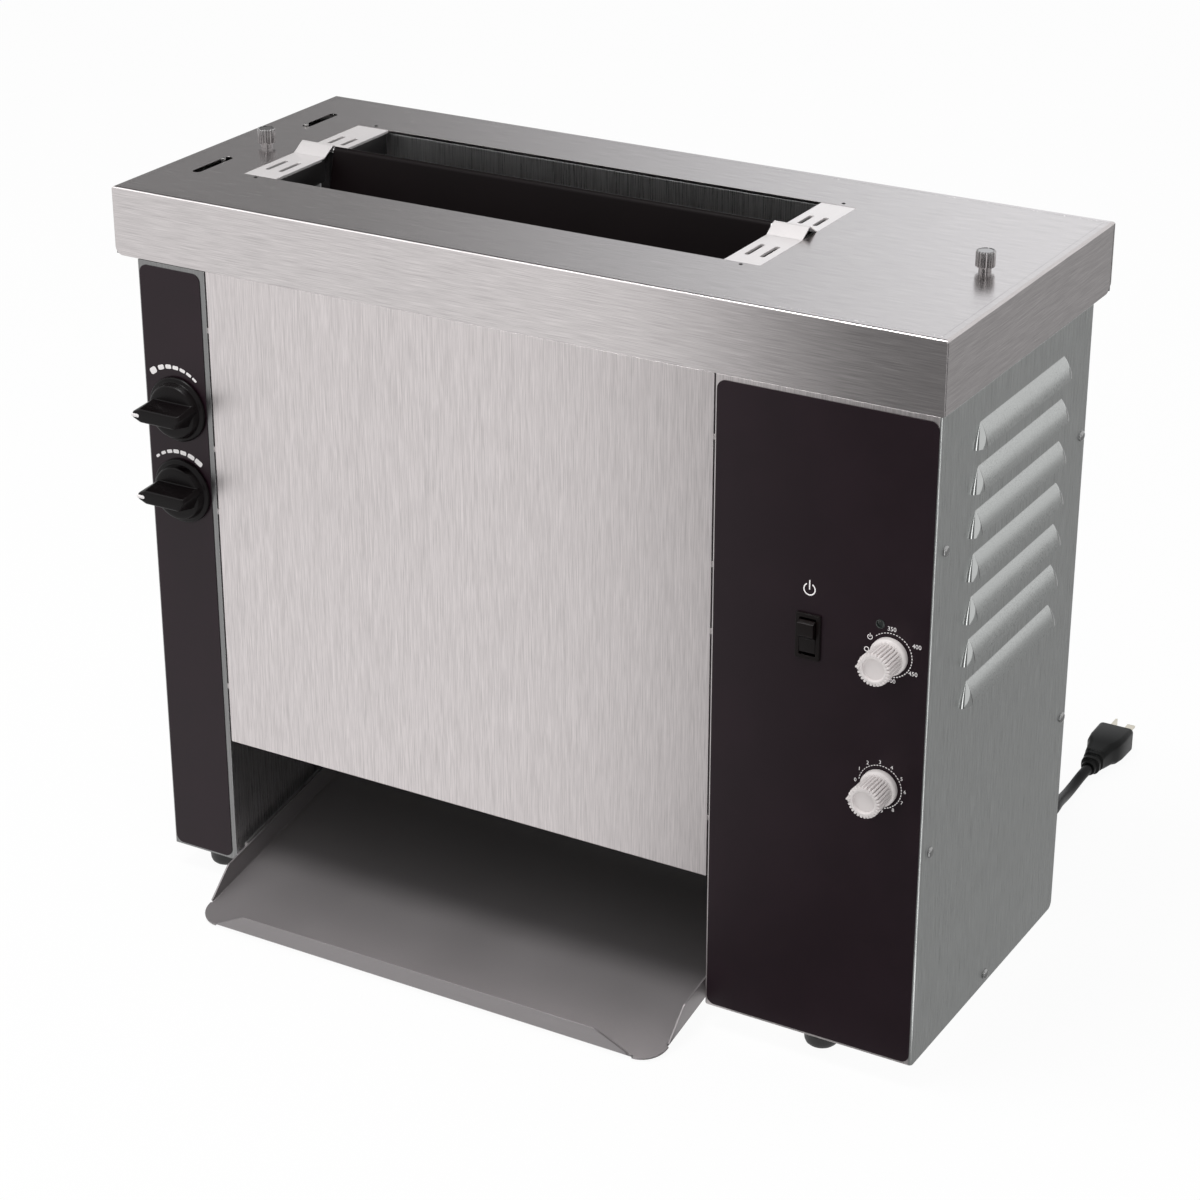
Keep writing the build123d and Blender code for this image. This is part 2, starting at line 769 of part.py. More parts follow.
with BuildPart() as end_plates:
    for x, edge in (((opening_left - plate_lap, throat_left), 1),
                    ((throat_right, opening_right + plate_lap), -1)):
        slab(x, (plate_front, plate_rear), (plate_under, lid_under))
        # flange that hangs down at the edge of the throat
        flange = (x[1] - end_sheet, x[1]) if edge > 0 else (x[0], x[0] + end_sheet)
        slab(flange, (front + opening_front + end_flange_inset,
                      front + opening_rear - end_flange_inset),
             (plate_under - end_flange, plate_under))
        # notch that the rod passes when the lid is lifted
        slab(flange, (hot_y - roof_half_width, hot_y + roof_half_width),
             (plate_under - end_flange, plate_under), mode=Mode.SUBTRACT)
        # raised roof over the end of the rod
        roof = (opening_left + roof_inset, x[1])
        if edge < 0:
            roof = (x[0], opening_right - roof_inset)
        with BuildSketch(Plane(origin=(roof[0], hot_y, lid_under), x_dir=(0, 1, 0),
                               z_dir=(1, 0, 0))):
            Polygon((-roof_half_width, 0), (roof_half_width, 0), (0, roof_height), align=None)
        extrude(amount=roof[1] - roof[0])
        with BuildSketch(Plane(origin=(roof[0], hot_y, lid_under), x_dir=(0, 1, 0),
                               z_dir=(1, 0, 0))):
            Polygon((-roof_inner_half, -2 * end_sheet), (roof_inner_half, -2 * end_sheet),
                    (roof_inner_half, 0), (0, roof_inner_height), (-roof_inner_half, 0),
                    align=None)
        extrude(amount=roof[1] - roof[0], mode=Mode.SUBTRACT)
        middle = (opening_left + throat_left) / 2
        if edge < 0:
            middle = (opening_right + throat_right) / 2
        for y0, y1 in plate_slots:
            for x_slot in (middle - plate_slot_pitch / 2, middle + plate_slot_pitch / 2):
                with BuildSketch(Plane.XY.offset(lid_under)):
                    with Locations((x_slot, front + (y0 + y1) / 2)):
                        SlotOverall(y1 - y0, plate_slot_width, rotation=90)
                extrude(amount=-end_sheet, mode=Mode.SUBTRACT)
    for x, y in rivet_places:
        bar_z(x, y, (plate_under, lid_under), plate_rivet_radius, mode=Mode.SUBTRACT)
write(end_plates.part, "end_plates")

with BuildPart() as plate_rivets:
    for x, y in rivet_places:
        bar_z(x, y, (plate_under - plate_rivet_rise, top + plate_rivet_rise), plate_rivet_radius)
        bar_z(x, y, (top, top + plate_rivet_rise), plate_rivet_head)
        bar_z(x, y, (plate_under - plate_rivet_rise, plate_under), plate_rivet_head)
write(plate_rivets.part, "plate_rivets")

for x, label in zip(thumb_screw_xs, ("left_thumb_screw", "right_thumb_screw")):
    with BuildPart() as thumb_screw:
        y = front + thumb_screw_y
        bar_z(x, y, (top - thumb_thread_length, top), thumb_thread_radius)
        bar_z(x, y, (top, top + thumb_neck_height), thumb_neck_radius)
        head = top + thumb_neck_height
        bar_z(x, y, (head, head + thumb_head_height), thumb_head_radius)
        chamfer(thumb_screw.edges().group_by(Axis.Z)[-1], length=thumb_chamfer)
        with BuildSketch(Plane.XY.offset(head)):
            with Locations((x, y)):
                with PolarLocations(thumb_head_radius + thumb_flute_offset, thumb_flutes):
                    Circle(thumb_flute_radius)
        extrude(amount=thumb_head_height, mode=Mode.SUBTRACT)
    write(thumb_screw.part, label)

# ---------------------------------------------------------------- platen and release sheet

heater_rows = [platen_bottom + (platen_top - platen_bottom) * (row + 0.5) / heater_count
               for row in range(heater_count)]

with BuildPart() as platen:
    slab((platen_left, platen_right),
         (hot_y - platen_thickness / 2, hot_y + platen_thickness / 2),
         (platen_bottom, platen_top))
    chamfer(platen.edges().filter_by(Axis.X).group_by(Axis.Z)[-1], length=platen_chamfer)
    for z in heater_rows:
        bar_x(hot_y, z, (platen_left, platen_right), heater_radius + fit, mode=Mode.SUBTRACT)
write(platen.part, "platen")

with BuildPart() as cartridge_heaters:
    for z in heater_rows:
        bar_x(hot_y, z, (platen_left, platen_right + heater_overhang), heater_radius)
write(cartridge_heaters.part, "cartridge_heaters")

with BuildPart() as platen_brackets:
    for wall, end, out in ((knob_wall, platen_left, -1), (control_wall, platen_right, 1)):
        near, far = min(wall, end), max(wall, end)
        plate = (wall, wall + 2 * sheet) if out < 0 else (wall - 2 * sheet, wall)
        slab(plate, (hot_y - 3 * bracket_half_width, hot_y + 3 * bracket_half_width),
             (platen_bottom + bracket_rise, platen_top - bracket_rise))
        slab((near, far), (hot_y - bracket_half_width, hot_y + bracket_half_width),
             (platen_bottom + bracket_rise, platen_top - bracket_drop))
        # arm that rises to the cradle of the release sheet's rod
        cradle = (end - cradle_far, end - cradle_near)
        if out > 0:
            cradle = (end + cradle_near, end + cradle_far)
        slab(cradle, (hot_y - cradle_half_width, hot_y + cradle_half_width),
             (platen_top - bracket_rise, top + sheet_rod_rise / 2))
    bar_x(hot_y, sheet_rod_z, (left, right), sheet_rod_radius, mode=Mode.SUBTRACT)
    for z in heater_rows:
        bar_x(hot_y, z, (platen_right - 1, control_wall), heater_radius + fit,
              mode=Mode.SUBTRACT)
write(platen_brackets.part, "platen_brackets")

with BuildPart() as sheet_rod:
    bar_x(hot_y, sheet_rod_z, (throat_left - sheet_rod_overhang,
                               throat_right + sheet_rod_overhang), sheet_rod_radius)
write(sheet_rod.part, "sheet_rod")

sheet_shoulder = platen_top - platen_chamfer
sheet_half = platen_thickness / 2 + fit
release_left = platen_left - release_margin
release_right = platen_right + release_margin


def drape(radius, half, foot, mode=Mode.ADD):
    """Outline that hangs over the rod and comes down on both faces of the platen."""
    reach = hypot(half, sheet_rod_z - sheet_shoulder)
    lean = atan2(half, sheet_rod_z - sheet_shoulder)
    tangent = lean + acos(radius / reach) - pi / 2
    touch = (radius * cos(tangent), sheet_rod_z + radius * sin(tangent))
    with BuildLine() as outline:
        Polyline(touch, (half, sheet_shoulder), (half, foot), (-half, foot),
                 (-half, sheet_shoulder), (-touch[0], touch[1]))
        ThreePointArc((-touch[0], touch[1]), (0, sheet_rod_z + radius), touch)
    make_face(outline.edges(), mode=mode)


with BuildPart() as release_sheet:
    with BuildSketch(Plane(origin=(release_left, hot_y, 0), x_dir=(0, 1, 0), z_dir=(1, 0, 0))):
        drape(sheet_rod_radius + release_thickness, sheet_half + release_thickness,
              platen_bottom)
        drape(sheet_rod_radius, sheet_half, platen_bottom - 1, mode=Mode.SUBTRACT)
    extrude(amount=release_right - release_left)
write(release_sheet.part, "release_sheet")

# ---------------------------------------------------------------- guides and chute

guide_top = plate_under - guide_gap


def guide(face_y, bend, foot, thickness):
    """Strip that hangs down from the opening's edge and then slopes in towards the belt."""
    with BuildSketch(Plane(origin=(knob_wall, face_y, guide_top), x_dir=(0, 1, 0),
                           z_dir=(1, 0, 0))) as outline:
        Polygon((0, 0), (-thickness, 0), (-thickness, -bend), (foot[0] - thickness, -foot[1]),
                (foot[0], -foot[1]), (0, -bend), align=None)
    extrude(outline.sketch, amount=control_wall - knob_wall)


with BuildPart() as front_bun_guide:
    guide(front + opening_front + front_guide[0][0], front_guide[0][1],
          (front_guide[1][0] - front_guide[0][0], front_guide[1][1]), guide_sheet)
write(front_bun_guide.part, "front_bun_guide")

with BuildPart() as rear_bun_guide:
    guide(front + opening_rear + rear_guide[0][0], rear_guide[0][1], rear_guide[1],
          -guide_sheet)
write(rear_bun_guide.part, "rear_bun_guide")

chute_back = back_inner - front
with BuildPart() as chute:
    with BuildSketch(Plane(origin=(knob_wall, front, 0), x_dir=(0, 1, 0), z_dir=(1, 0, 0))):
        Polygon((chute_front[0], chute_front[1]),
                (chute_back - sheet, chute_front[1] + chute_rise),
                (chute_back - sheet, chute_front[1] + chute_rise + chute_flange),
                (chute_back, chute_front[1] + chute_rise + chute_flange),
                (chute_back, chute_front[1] + chute_rise - sheet),
                (chute_front[0], chute_front[1] - sheet), align=None)
    extrude(amount=control_wall - knob_wall)
write(chute.part, "chute")

# ---------------------------------------------------------------- catch tray and its rails

flange_plane = Plane(origin=(tray_left, tray_origin[1], tray_origin[2]),
                     x_dir=(0, cos(radians(tray_slope)), sin(radians(tray_slope))),
                     z_dir=(1, 0, 0))
lip_plane = Plane(origin=tray_origin, x_dir=(1, 0, 0),
                  z_dir=(0, -cos(radians(tray_slope)), -sin(radians(tray_slope))))
tray_width = tray_right - tray_left

with BuildPart() as catch_tray:
    with BuildSketch(tray_plane):
        with Locations((0, tray_length / 2)):
            Rectangle(tray_width, tray_length)
        fillet(vertices().group_by(Axis.Y)[0], radius=tray_corner)
    extrude(amount=sheet)
    for x in (0, tray_width - sheet):
        with BuildSketch(flange_plane.offset(x)):
            Polygon((tray_flange_start, 0), (tray_length, 0), (tray_length, tray_lip),
                    (tray_flange_full, tray_lip), align=None)
            fillet(vertices().sort_by(Axis.Z)[-2:].sort_by(Axis.Y)[0:1], radius=tray_bend)
        extrude(amount=sheet)
    with BuildSketch(lip_plane):
        half = tray_width / 2 - tray_corner
        Polygon((-half, 0), (half, 0), (half - tray_lip_taper, tray_lip),
                (-half + tray_lip_taper, tray_lip), align=None)
        fillet(vertices().group_by(Axis.Z)[-1], radius=tray_bend)
    extrude(amount=-sheet)
write(catch_tray.part, "catch_tray")

rail_start = (tray_foot_reach + rail_front) / cos(radians(tray_slope))
rail_end = (tray_foot_reach + rail_rear) / cos(radians(tray_slope))

with BuildPart() as tray_rails:
    for wall, way in ((knob_wall, 1), (control_wall, -1)):
        plane = Plane(origin=(wall, tray_origin[1], tray_origin[2]), x_dir=flange_plane.x_dir,
                      z_dir=(1, 0, 0))
        with BuildSketch(plane):
            with Locations(((rail_start + rail_end) / 2, -sheet / 2)):
                Rectangle(rail_end - rail_start, sheet)
        extrude(amount=way * (tray_side_gap + rail_lap))
        with BuildSketch(plane):
            with Locations((rail_start, -sheet)):
                Rectangle(rail_end - rail_start, rail_height, align=(Align.MIN, Align.MIN))
        extrude(amount=way * sheet)
write(tray_rails.part, "tray_rails")

# ---------------------------------------------------------------- conveyors

frame_left = (belt_left - side_plate_gap - side_plate, belt_left - side_plate_gap)
frame_right = (belt_right + side_plate_gap, belt_right + side_plate_gap + side_plate)


def stadium(axis_y, radius, x, mode=Mode.ADD):
    """Solid whose outline loops round both axes of a conveyor, between two x values."""
    plane = Plane(origin=(x[0], axis_y, drive_z), x_dir=(0, 1, 0), z_dir=(1, 0, 0))
    with BuildSketch(plane) as outline:
        with Locations((0, (idler_z - drive_z) / 2)):
            SlotCenterToCenter(idler_z - drive_z, 2 * radius, rotation=90)
    extrude(outline.sketch, amount=x[1] - x[0], mode=mode)


# name, axis y, side of the axis that faces the platen, knob height, indicator pin's y
conveyors = (
    ("crown", crown_y, 1, crown_knob_z, front + crown_pin_y),
    ("heel", heel_y, -1, heel_knob_z, front + heel_pin_y),
)

for name, axis_y, inward, knob_z, pin_y in conveyors:
    with BuildPart() as frame:
        for plate in (frame_left, frame_right):
            stadium(axis_y, side_plate_half_width, plate)
            bar_x(axis_y, idler_z, plate, shaft_radius + fit, mode=Mode.SUBTRACT)
            bar_x(axis_y, drive_z, plate, shaft_radius + fit, mode=Mode.SUBTRACT)
        for share in tie_rows:
            bar_x(axis_y, drive_z + share * (idler_z - drive_z),
                  (frame_left[1], frame_right[0]), tie_radius)
        # plate that backs the working run of the belt
        face = axis_y + inward * (roller_radius - pressure_gap)
        back = face - inward * pressure_plate
        slab((frame_left[1], frame_right[0]), (min(face, back), max(face, back)),
             (drive_z + roller_radius + shaft_radius, idler_z - roller_radius - shaft_radius))
    write(frame.part, f"{name}_frame")

    with BuildPart() as adjuster_bar:
        slab((pin_x - bar_half / 2, frame_left[0]), (axis_y - bar_half, axis_y + bar_half),
             (knob_z - bar_half, knob_z + bar_half))
        slab((knob_x - nut_half_height, knob_x + nut_half_height),
             (axis_y - bar_half, axis_y + bar_half),
             (knob_z - nut_half_height, knob_z + nut_half_height))
        slab((pin_x - bar_half / 2, pin_x + bar_half / 2),
             (min(pin_y - bar_half / 2, axis_y), max(pin_y + bar_half / 2, axis_y)),
             (knob_z - bar_half, knob_z + bar_half))
        bar_y(knob_x, knob_z, (axis_y - 2 * bar_half, axis_y + 2 * bar_half),
              adjust_screw_radius + adjust_screw_play, mode=Mode.SUBTRACT)
        bar_z(pin_x, pin_y, (knob_z, top + indicator_rise), indicator_radius)
    write(adjuster_bar.part, f"{name}_adjuster_bar")

    with BuildPart() as drive_roller:
        bar_x(axis_y, drive_z, (shaft_left, shaft_right), shaft_radius)
        bar_x(axis_y, drive_z, (belt_left, belt_right), roller_radius)
    write(drive_roller.part, f"{name}_drive_roller")

    with BuildPart() as idler_roller:
        bar_x(axis_y, idler_z, (frame_left[0] - idler_stub, frame_right[1] + idler_stub),
              shaft_radius)
        bar_x(axis_y, idler_z, (belt_left, belt_right), roller_radius)
    write(idler_roller.part, f"{name}_idler_roller")

    with BuildPart() as belt:
        stadium(axis_y, belt_outer, (belt_left, belt_right))
        stadium(axis_y, belt_inner, (belt_left, belt_right), mode=Mode.SUBTRACT)
    write(belt.part, f"{name}_belt")

# ---------------------------------------------------------------- gears and motor


def tooth_points(pitch_radius, phase):
    """Corners of one tooth, centred on the phase angle, from its root to its tip."""
    half = pi * gear_module / 4 - gear_backlash / 2
    lean = tan(radians(pressure_angle))
    root = pitch_radius - 1.25 * gear_module
    tip = pitch_radius + gear_module
    corners = []
    for radius, side in ((root - 1, -1), (tip, -1), (tip, 1), (root - 1, 1)):
        across = side * (half - (radius - pitch_radius) * lean)
        corners.append((radius * cos(phase) - across * sin(phase),
                        radius * sin(phase) + across * cos(phase)))
    return corners


def spur_gear(y, pitch_radius, z, teeth, phase):
    """Toothed disc across X, with its teeth at a phase angle from the Y direction."""
    plane = Plane(origin=(gear_left, y, z), x_dir=(0, 1, 0), z_dir=(1, 0, 0))
    with BuildSketch(plane) as outline:
        Circle(pitch_radius - 1.25 * gear_module)
        for tooth in range(teeth):
            Polygon(*tooth_points(pitch_radius, phase + tooth * 2 * pi / teeth), align=None)
    extrude(outline.sketch, amount=gear_width)


tooth_pitch = 2 * pi / gear_teeth
pinion_bearing = radians(pinion_bearing_angle)
pinion_distance = gear_pitch_radius + pinion_pitch_radius
pinion_y = crown_y + pinion_distance * cos(pinion_bearing)
pinion_z = drive_z + pinion_distance * sin(pinion_bearing)
# the heel gear has a gap where a crown tooth stands, and so has the pinion
heel_phase = pi - tooth_pitch / 2
past_line = -pinion_bearing % tooth_pitch
pinion_phase = pinion_bearing + pi - past_line * gear_teeth / pinion_teeth + pi / pinion_teeth

for name, axis_y, phase in (("crown", crown_y, 0), ("heel", heel_y, heel_phase)):
    with BuildPart() as gear:
        spur_gear(axis_y, gear_pitch_radius, drive_z, gear_teeth, phase)
        bar_x(axis_y, drive_z, (gear_left, gear_right), shaft_radius, mode=Mode.SUBTRACT)
        with BuildSketch(Plane(origin=(gear_left, axis_y, drive_z), x_dir=(0, 1, 0),
                               z_dir=(1, 0, 0))):
            with PolarLocations(gear_pitch_radius * 0.58, gear_holes, start_angle=20):
                Circle(gear_pitch_radius * 0.17)
        extrude(amount=gear_width, mode=Mode.SUBTRACT)
    write(gear.part, f"{name}_gear")

post_places = [
    (pinion_y + side * (motor_plate_half - motor_post), pinion_z + level *
     (motor_plate_half - motor_post))
    for side, level in ((-1, 1), (1, 1), (-1, -1))
]

with BuildPart() as drive_pinion:
    spur_gear(pinion_y, pinion_pitch_radius, pinion_z, pinion_teeth, pinion_phase)
    bar_x(pinion_y, pinion_z, (gear_left, motor_left + gearbox_length / 2), motor_shaft)
write(drive_pinion.part, "drive_pinion")

with BuildPart() as gearmotor:
    slab((motor_left, motor_left + motor_plate),
         (pinion_y - motor_plate_half, pinion_y + motor_plate_half),
         (pinion_z - motor_plate_half, pinion_z + motor_plate_half))
    for y, z in post_places:
        bar_x(y, z, (control_wall + sheet, motor_left), motor_post)
    bar_x(pinion_y, pinion_z, (motor_left, motor_left + gearbox_length), gearbox_radius)
    bar_x(pinion_y, pinion_z, (motor_left + gearbox_length,
                               motor_left + gearbox_length + motor_length), motor_radius)
    bar_x(pinion_y, pinion_z, (motor_left, motor_left + gearbox_length / 2),
          motor_shaft + fit, mode=Mode.SUBTRACT)
write(gearmotor.part, "gearmotor")

with BuildPart() as shaft_bushes:
    for axis_y in (crown_y, heel_y):
        for wall, way in ((knob_wall - sheet, 1), (control_wall, -1)):
            bay = (wall + sheet, wall + sheet + bush_reach) if way > 0 else (wall - bush_reach, wall)
            bar_x(axis_y, drive_z, (wall - bush_past_wall, wall + sheet + bush_past_wall),
                  bush_radius)
            bar_x(axis_y, drive_z, bay, bush_flange)
            bar_x(axis_y, drive_z, (wall - bush_reach, wall + sheet + bush_reach),
                  shaft_radius + fit, mode=Mode.SUBTRACT)
write(shaft_bushes.part, "shaft_bushes")

# ---------------------------------------------------------------- adjusters

overlay_face = front - overlay_thickness
knob_back = overlay_face - knob_gap
screw_ends = {"crown": crown_y + 2 * bar_half + screw_past_nut,
              "heel": heel_y + 2 * bar_half + screw_past_nut}
screw_start = front_inner + bush_inner

with BuildPart() as adjuster_supports:
    for name, axis_y, inward, knob_z, pin_y in conveyors:
        bar_y(knob_x, knob_z, (overlay_face, screw_start), bush_outer)
        bar_y(knob_x, knob_z, (front_inner, front_inner + bush_collar),
              bush_outer + bush_collar_lap)
        end = screw_ends[name]
        slab((knob_x - journal_radius - support_margin, knob_wall - sheet),
             (end, end + support_plate),
             (knob_z - journal_radius - support_margin, knob_z + journal_radius + support_margin))
        bar_y(knob_x, knob_z, (front - 5, end + support_plate), journal_radius + fit,
              mode=Mode.SUBTRACT)
write(adjuster_supports.part, "adjuster_supports")

for name, axis_y, inward, knob_z, pin_y in conveyors:
    with BuildPart() as adjusting_screw:
        end = screw_ends[name]
        bar_y(knob_x, knob_z, (knob_back - knob_socket, end + support_plate), journal_radius)
        bar_y(knob_x, knob_z, (screw_start + running_gap, end - running_gap),
              adjust_screw_radius)
    write(adjusting_screw.part, f"{name}_adjusting_screw")

    with BuildPart() as pointer_knob:
        bar_y(knob_x, knob_z, (knob_back - knob_skirt_height, knob_back), knob_skirt_radius)
        bar_y(knob_x, knob_z, (knob_back - knob_hub_height, knob_back), knob_hub_radius)
        with BuildSketch(facing_front(knob_back)):
            with Locations((knob_x, knob_z)):
                Polygon((-knob_tip_reach, -knob_tip_half),
                        (-knob_tip_reach + knob_tip_taper, -knob_bar_half),
                        (knob_tail_reach, -knob_bar_half), (knob_tail_reach, knob_bar_half),
                        (-knob_tip_reach + knob_tip_taper, knob_bar_half),
                        (-knob_tip_reach, knob_tip_half), align=None)
        extrude(amount=knob_reach, taper=knob_draft)
        bar_y(knob_x, knob_z, (knob_back - knob_socket, knob_back), journal_radius,
              mode=Mode.SUBTRACT)
    write(pointer_knob.part, f"{name}_knob")

# ---------------------------------------------------------------- controls

with BuildPart() as dial_controls:
    for x, z in dial_places:
        slab((x - dial_body, x + dial_body), (front_inner, front_inner + dial_body),
             (z - dial_body, z + dial_body))
        bar_y(x, z, (overlay_face, front_inner), dial_bush_radius)
        bar_y(x, z, (overlay_face, front_inner + dial_shaft_depth), dial_shaft_radius + fit,
              mode=Mode.SUBTRACT)
write(dial_controls.part, "dial_controls")

for (x, z), label in zip(dial_places, ("temperature_knob", "speed_knob")):
    with BuildPart() as dial_knob:
        bar_y(x, z, (overlay_face - knob_gap - dial_knob_length, overlay_face - knob_gap),
              dial_knob_radius)
        fillet(dial_knob.edges().group_by(Axis.Y)[0], radius=dial_knob_round)
        with BuildSketch(facing_front(overlay_face - knob_gap)):
            with Locations((x, z)):
                with PolarLocations(dial_knob_radius + dial_flute_offset, dial_knob_flutes):
                    Circle(dial_flute_radius)
        extrude(amount=dial_knob_length, mode=Mode.SUBTRACT)
        bar_y(x, z, (overlay_face - knob_gap - dial_knob_skirt_height, overlay_face - knob_gap),
              dial_knob_skirt)
        # dished end
        bar_y(x, z, (overlay_face - knob_gap - dial_knob_length,
                     overlay_face - knob_gap - dial_knob_length + dial_dish_depth),
              dial_dish_radius, mode=Mode.SUBTRACT)
        bar_y(x, z, (overlay_face - knob_gap, front_inner + dial_shaft_depth - 1),
              dial_shaft_radius)
    write(dial_knob.part, label)

switch_mid = (switch_x, switch_z)
hole_half = (switch_width / 2 - switch_lap, switch_height / 2 - switch_lap)
cavity_half = (hole_half[0] - switch_wall, hole_half[1] - switch_wall)
rocker_y = front + rocker_pivot

with BuildPart() as power_switch_body:
    slab((switch_mid[0] - switch_width / 2, switch_mid[0] + switch_width / 2),
         (overlay_face - switch_flange, overlay_face),
         (switch_z - switch_height / 2, switch_z + switch_height / 2))
    slab((switch_mid[0] - hole_half[0], switch_mid[0] + hole_half[0]),
         (overlay_face, front + switch_depth),
         (switch_z - hole_half[1], switch_z + hole_half[1]))
    slab((switch_mid[0] - cavity_half[0], switch_mid[0] + cavity_half[0]),
         (overlay_face - switch_flange, front + switch_depth - 2 * switch_wall),
         (switch_z - cavity_half[1], switch_z + cavity_half[1]), mode=Mode.SUBTRACT)
    pin_hole = cavity_half[0] + rocker_pin_reach + running_gap
    bar_x(rocker_y, switch_z, (switch_mid[0] - pin_hole, switch_mid[0] + pin_hole),
          rocker_pin + fit, mode=Mode.SUBTRACT)
write(power_switch_body.part, "power_switch_body")

with BuildPart() as power_rocker:
    start = switch_mid[0] - cavity_half[0] + running_gap
    lean = radians(rocker_tilt)
    with BuildSketch(Plane(origin=(start, rocker_y, switch_z), x_dir=(0, 1, 0),
                           z_dir=(1, 0, 0))):
        profile = [(-rocker_front, rocker_half), (-rocker_waist, 0),
                   (-rocker_front, -rocker_half), (0, -rocker_half + rocker_shoulder),
                   (rocker_back, -rocker_foot_half), (rocker_back, rocker_foot_half),
                   (0, rocker_half - rocker_shoulder)]
        Polygon(*[(y * cos(lean) - z * sin(lean), y * sin(lean) + z * cos(lean))
                  for y, z in profile], align=None)
    extrude(amount=2 * (cavity_half[0] - running_gap))
    pin_half = cavity_half[0] + rocker_pin_reach
    bar_x(rocker_y, switch_z, (switch_mid[0] - pin_half, switch_mid[0] + pin_half), rocker_pin)
write(power_rocker.part, "power_rocker")

with BuildPart() as indicator_lamp:
    bar_y(lamp_x, lamp_z, (overlay_face - lamp_rise, front_inner + lamp_depth), lamp_radius)
    fillet(indicator_lamp.edges().group_by(Axis.Y)[0], radius=0.4 * lamp_radius)
    bar_y(lamp_x, lamp_z, (front_inner, front_inner + lamp_collar),
          lamp_radius + lamp_collar_lap)
write(indicator_lamp.part, "indicator_lamp")

fan_front = back_inner - fan_depth
fan_strut_y = (back_inner - fan_strut_depth, back_inner)

with BuildPart() as fan_housing:
    slab((fan_x - fan_size / 2, fan_x + fan_size / 2), (fan_front, back_inner),
         (fan_z - fan_size / 2, fan_z + fan_size / 2))
    bar_y(fan_x, fan_z, (fan_front, back_inner), fan_bore, mode=Mode.SUBTRACT)
    bar_y(fan_x, fan_z, fan_strut_y, fan_hub)
    strut_half = fan_bore + fan_strut_lap
    slab((fan_x - strut_half, fan_x + strut_half), fan_strut_y,
         (fan_z - fan_strut, fan_z + fan_strut))
    slab((fan_x - fan_strut, fan_x + fan_strut), fan_strut_y,
         (fan_z - strut_half, fan_z + strut_half))
    bar_y(fan_x, fan_z, (fan_front + 2 * fan_rotor_gap, back_inner), fan_axle)
write(fan_housing.part, "fan_housing")

with BuildPart() as fan_rotor:
    bar_y(fan_x, fan_z, (fan_front + fan_rotor_gap, fan_strut_y[0] - running_gap), fan_hub)
    for blade in range(fan_blades):
        angle = blade * 360 / fan_blades
        across = Vector(-sin(radians(angle)), 0, cos(radians(angle)))
        face = across * cos(radians(fan_pitch)) - Vector(0, sin(radians(fan_pitch)), 0)
        with BuildSketch(Plane(origin=(fan_x, (fan_front + fan_strut_y[0]) / 2, fan_z),
                               x_dir=(cos(radians(angle)), 0, sin(radians(angle))),
                               z_dir=face)):
            with Locations(((fan_hub + fan_bore) / 2 - 3 * fan_blade_gap, 0)):
                Rectangle(fan_bore - fan_hub - 2 * fan_blade_gap, fan_chord)
        extrude(amount=fan_blade_thickness)
    bar_y(fan_x, fan_z, (fan_front + 1.5 * fan_rotor_gap, back_inner), fan_axle + fit,
          mode=Mode.SUBTRACT)
write(fan_rotor.part, "fan_rotor")

board_x = control_wall + sheet + board_standoff
board_face = board_x + board_thickness
board_y = (front + board_span[0], front + board_span[1])

with BuildPart() as control_board:
    slab((board_x, board_face), board_y, board_z)
    for y in (board_y[0] + board_post_inset, board_y[1] - board_post_inset):
        for z in (board_z[0] + board_post_inset, board_z[1] - board_post_inset):
            bar_x(y, z, (control_wall + sheet, board_x), board_post)
    for y, z, rise in board_parts:
        slab((board_face, board_face + rise), (front + y[0], front + y[1]), z)
write(control_board.part, "control_board")

# ---------------------------------------------------------------- cord and plug

cord_radius = cord_diameter / 2
exit_point = (cord_x, cab_back + gland_length, gland_z)
outer_turn = coil_radius + cord_diameter * (coil_turns_wide - 1) / 2
coil_outside = outer_turn + cord_radius
coil_mid = (cord_x - outer_turn, front + coil_y)
coil_end = (coil_outside ** 2 - outer_turn ** 2) ** 0.5
coil_top = floor_gap + coil_layers * cord_diameter

with BuildPart() as strain_relief:
    collar_end = cab_back + gland_collar
    bar_y(cord_x, gland_z, (back_inner - gland_nut, collar_end), gland_root)
    bar_y(cord_x, gland_z, (cab_back, collar_end), gland_root + gland_collar_lap)
    bar_y(cord_x, gland_z, (back_inner - gland_nut, back_inner), gland_root + gland_nut_lap)
    with BuildSketch(Plane(origin=(cord_x, collar_end, gland_z), x_dir=(1, 0, 0),
                           z_dir=(0, 1, 0))):
        Circle(gland_root)
    with BuildSketch(Plane(origin=exit_point, x_dir=(1, 0, 0), z_dir=(0, 1, 0))):
        Circle(cord_radius + gland_wall)
    loft()
write(strain_relief.part, "strain_relief")

# Points of the two stretches that aren't coiled: x from the exit, y from the front, height
entry_route = [
    (0.0, exit_point[1] - front, gland_z),
    (-0.3, 282.0, 30.6),
    (-0.6, 298.0, 24.4),
    (-0.4, 312.5, 15.8),
    (-0.1, 326.5, 8.2),
    (0.0, coil_y - coil_end, 4.5),
]
plug_route = [
    (0.0, coil_y + coil_end, 12.8),
    (0.0, 396.5, 12.2),
    (0.3, 412.0, 8.2),
    (0.7, 430.0, 4.7),
    (1.2, 445.0, 5.0),
    (2.1, 458.5, 8.0),
    (3.0, 468.0, 8.8),
]


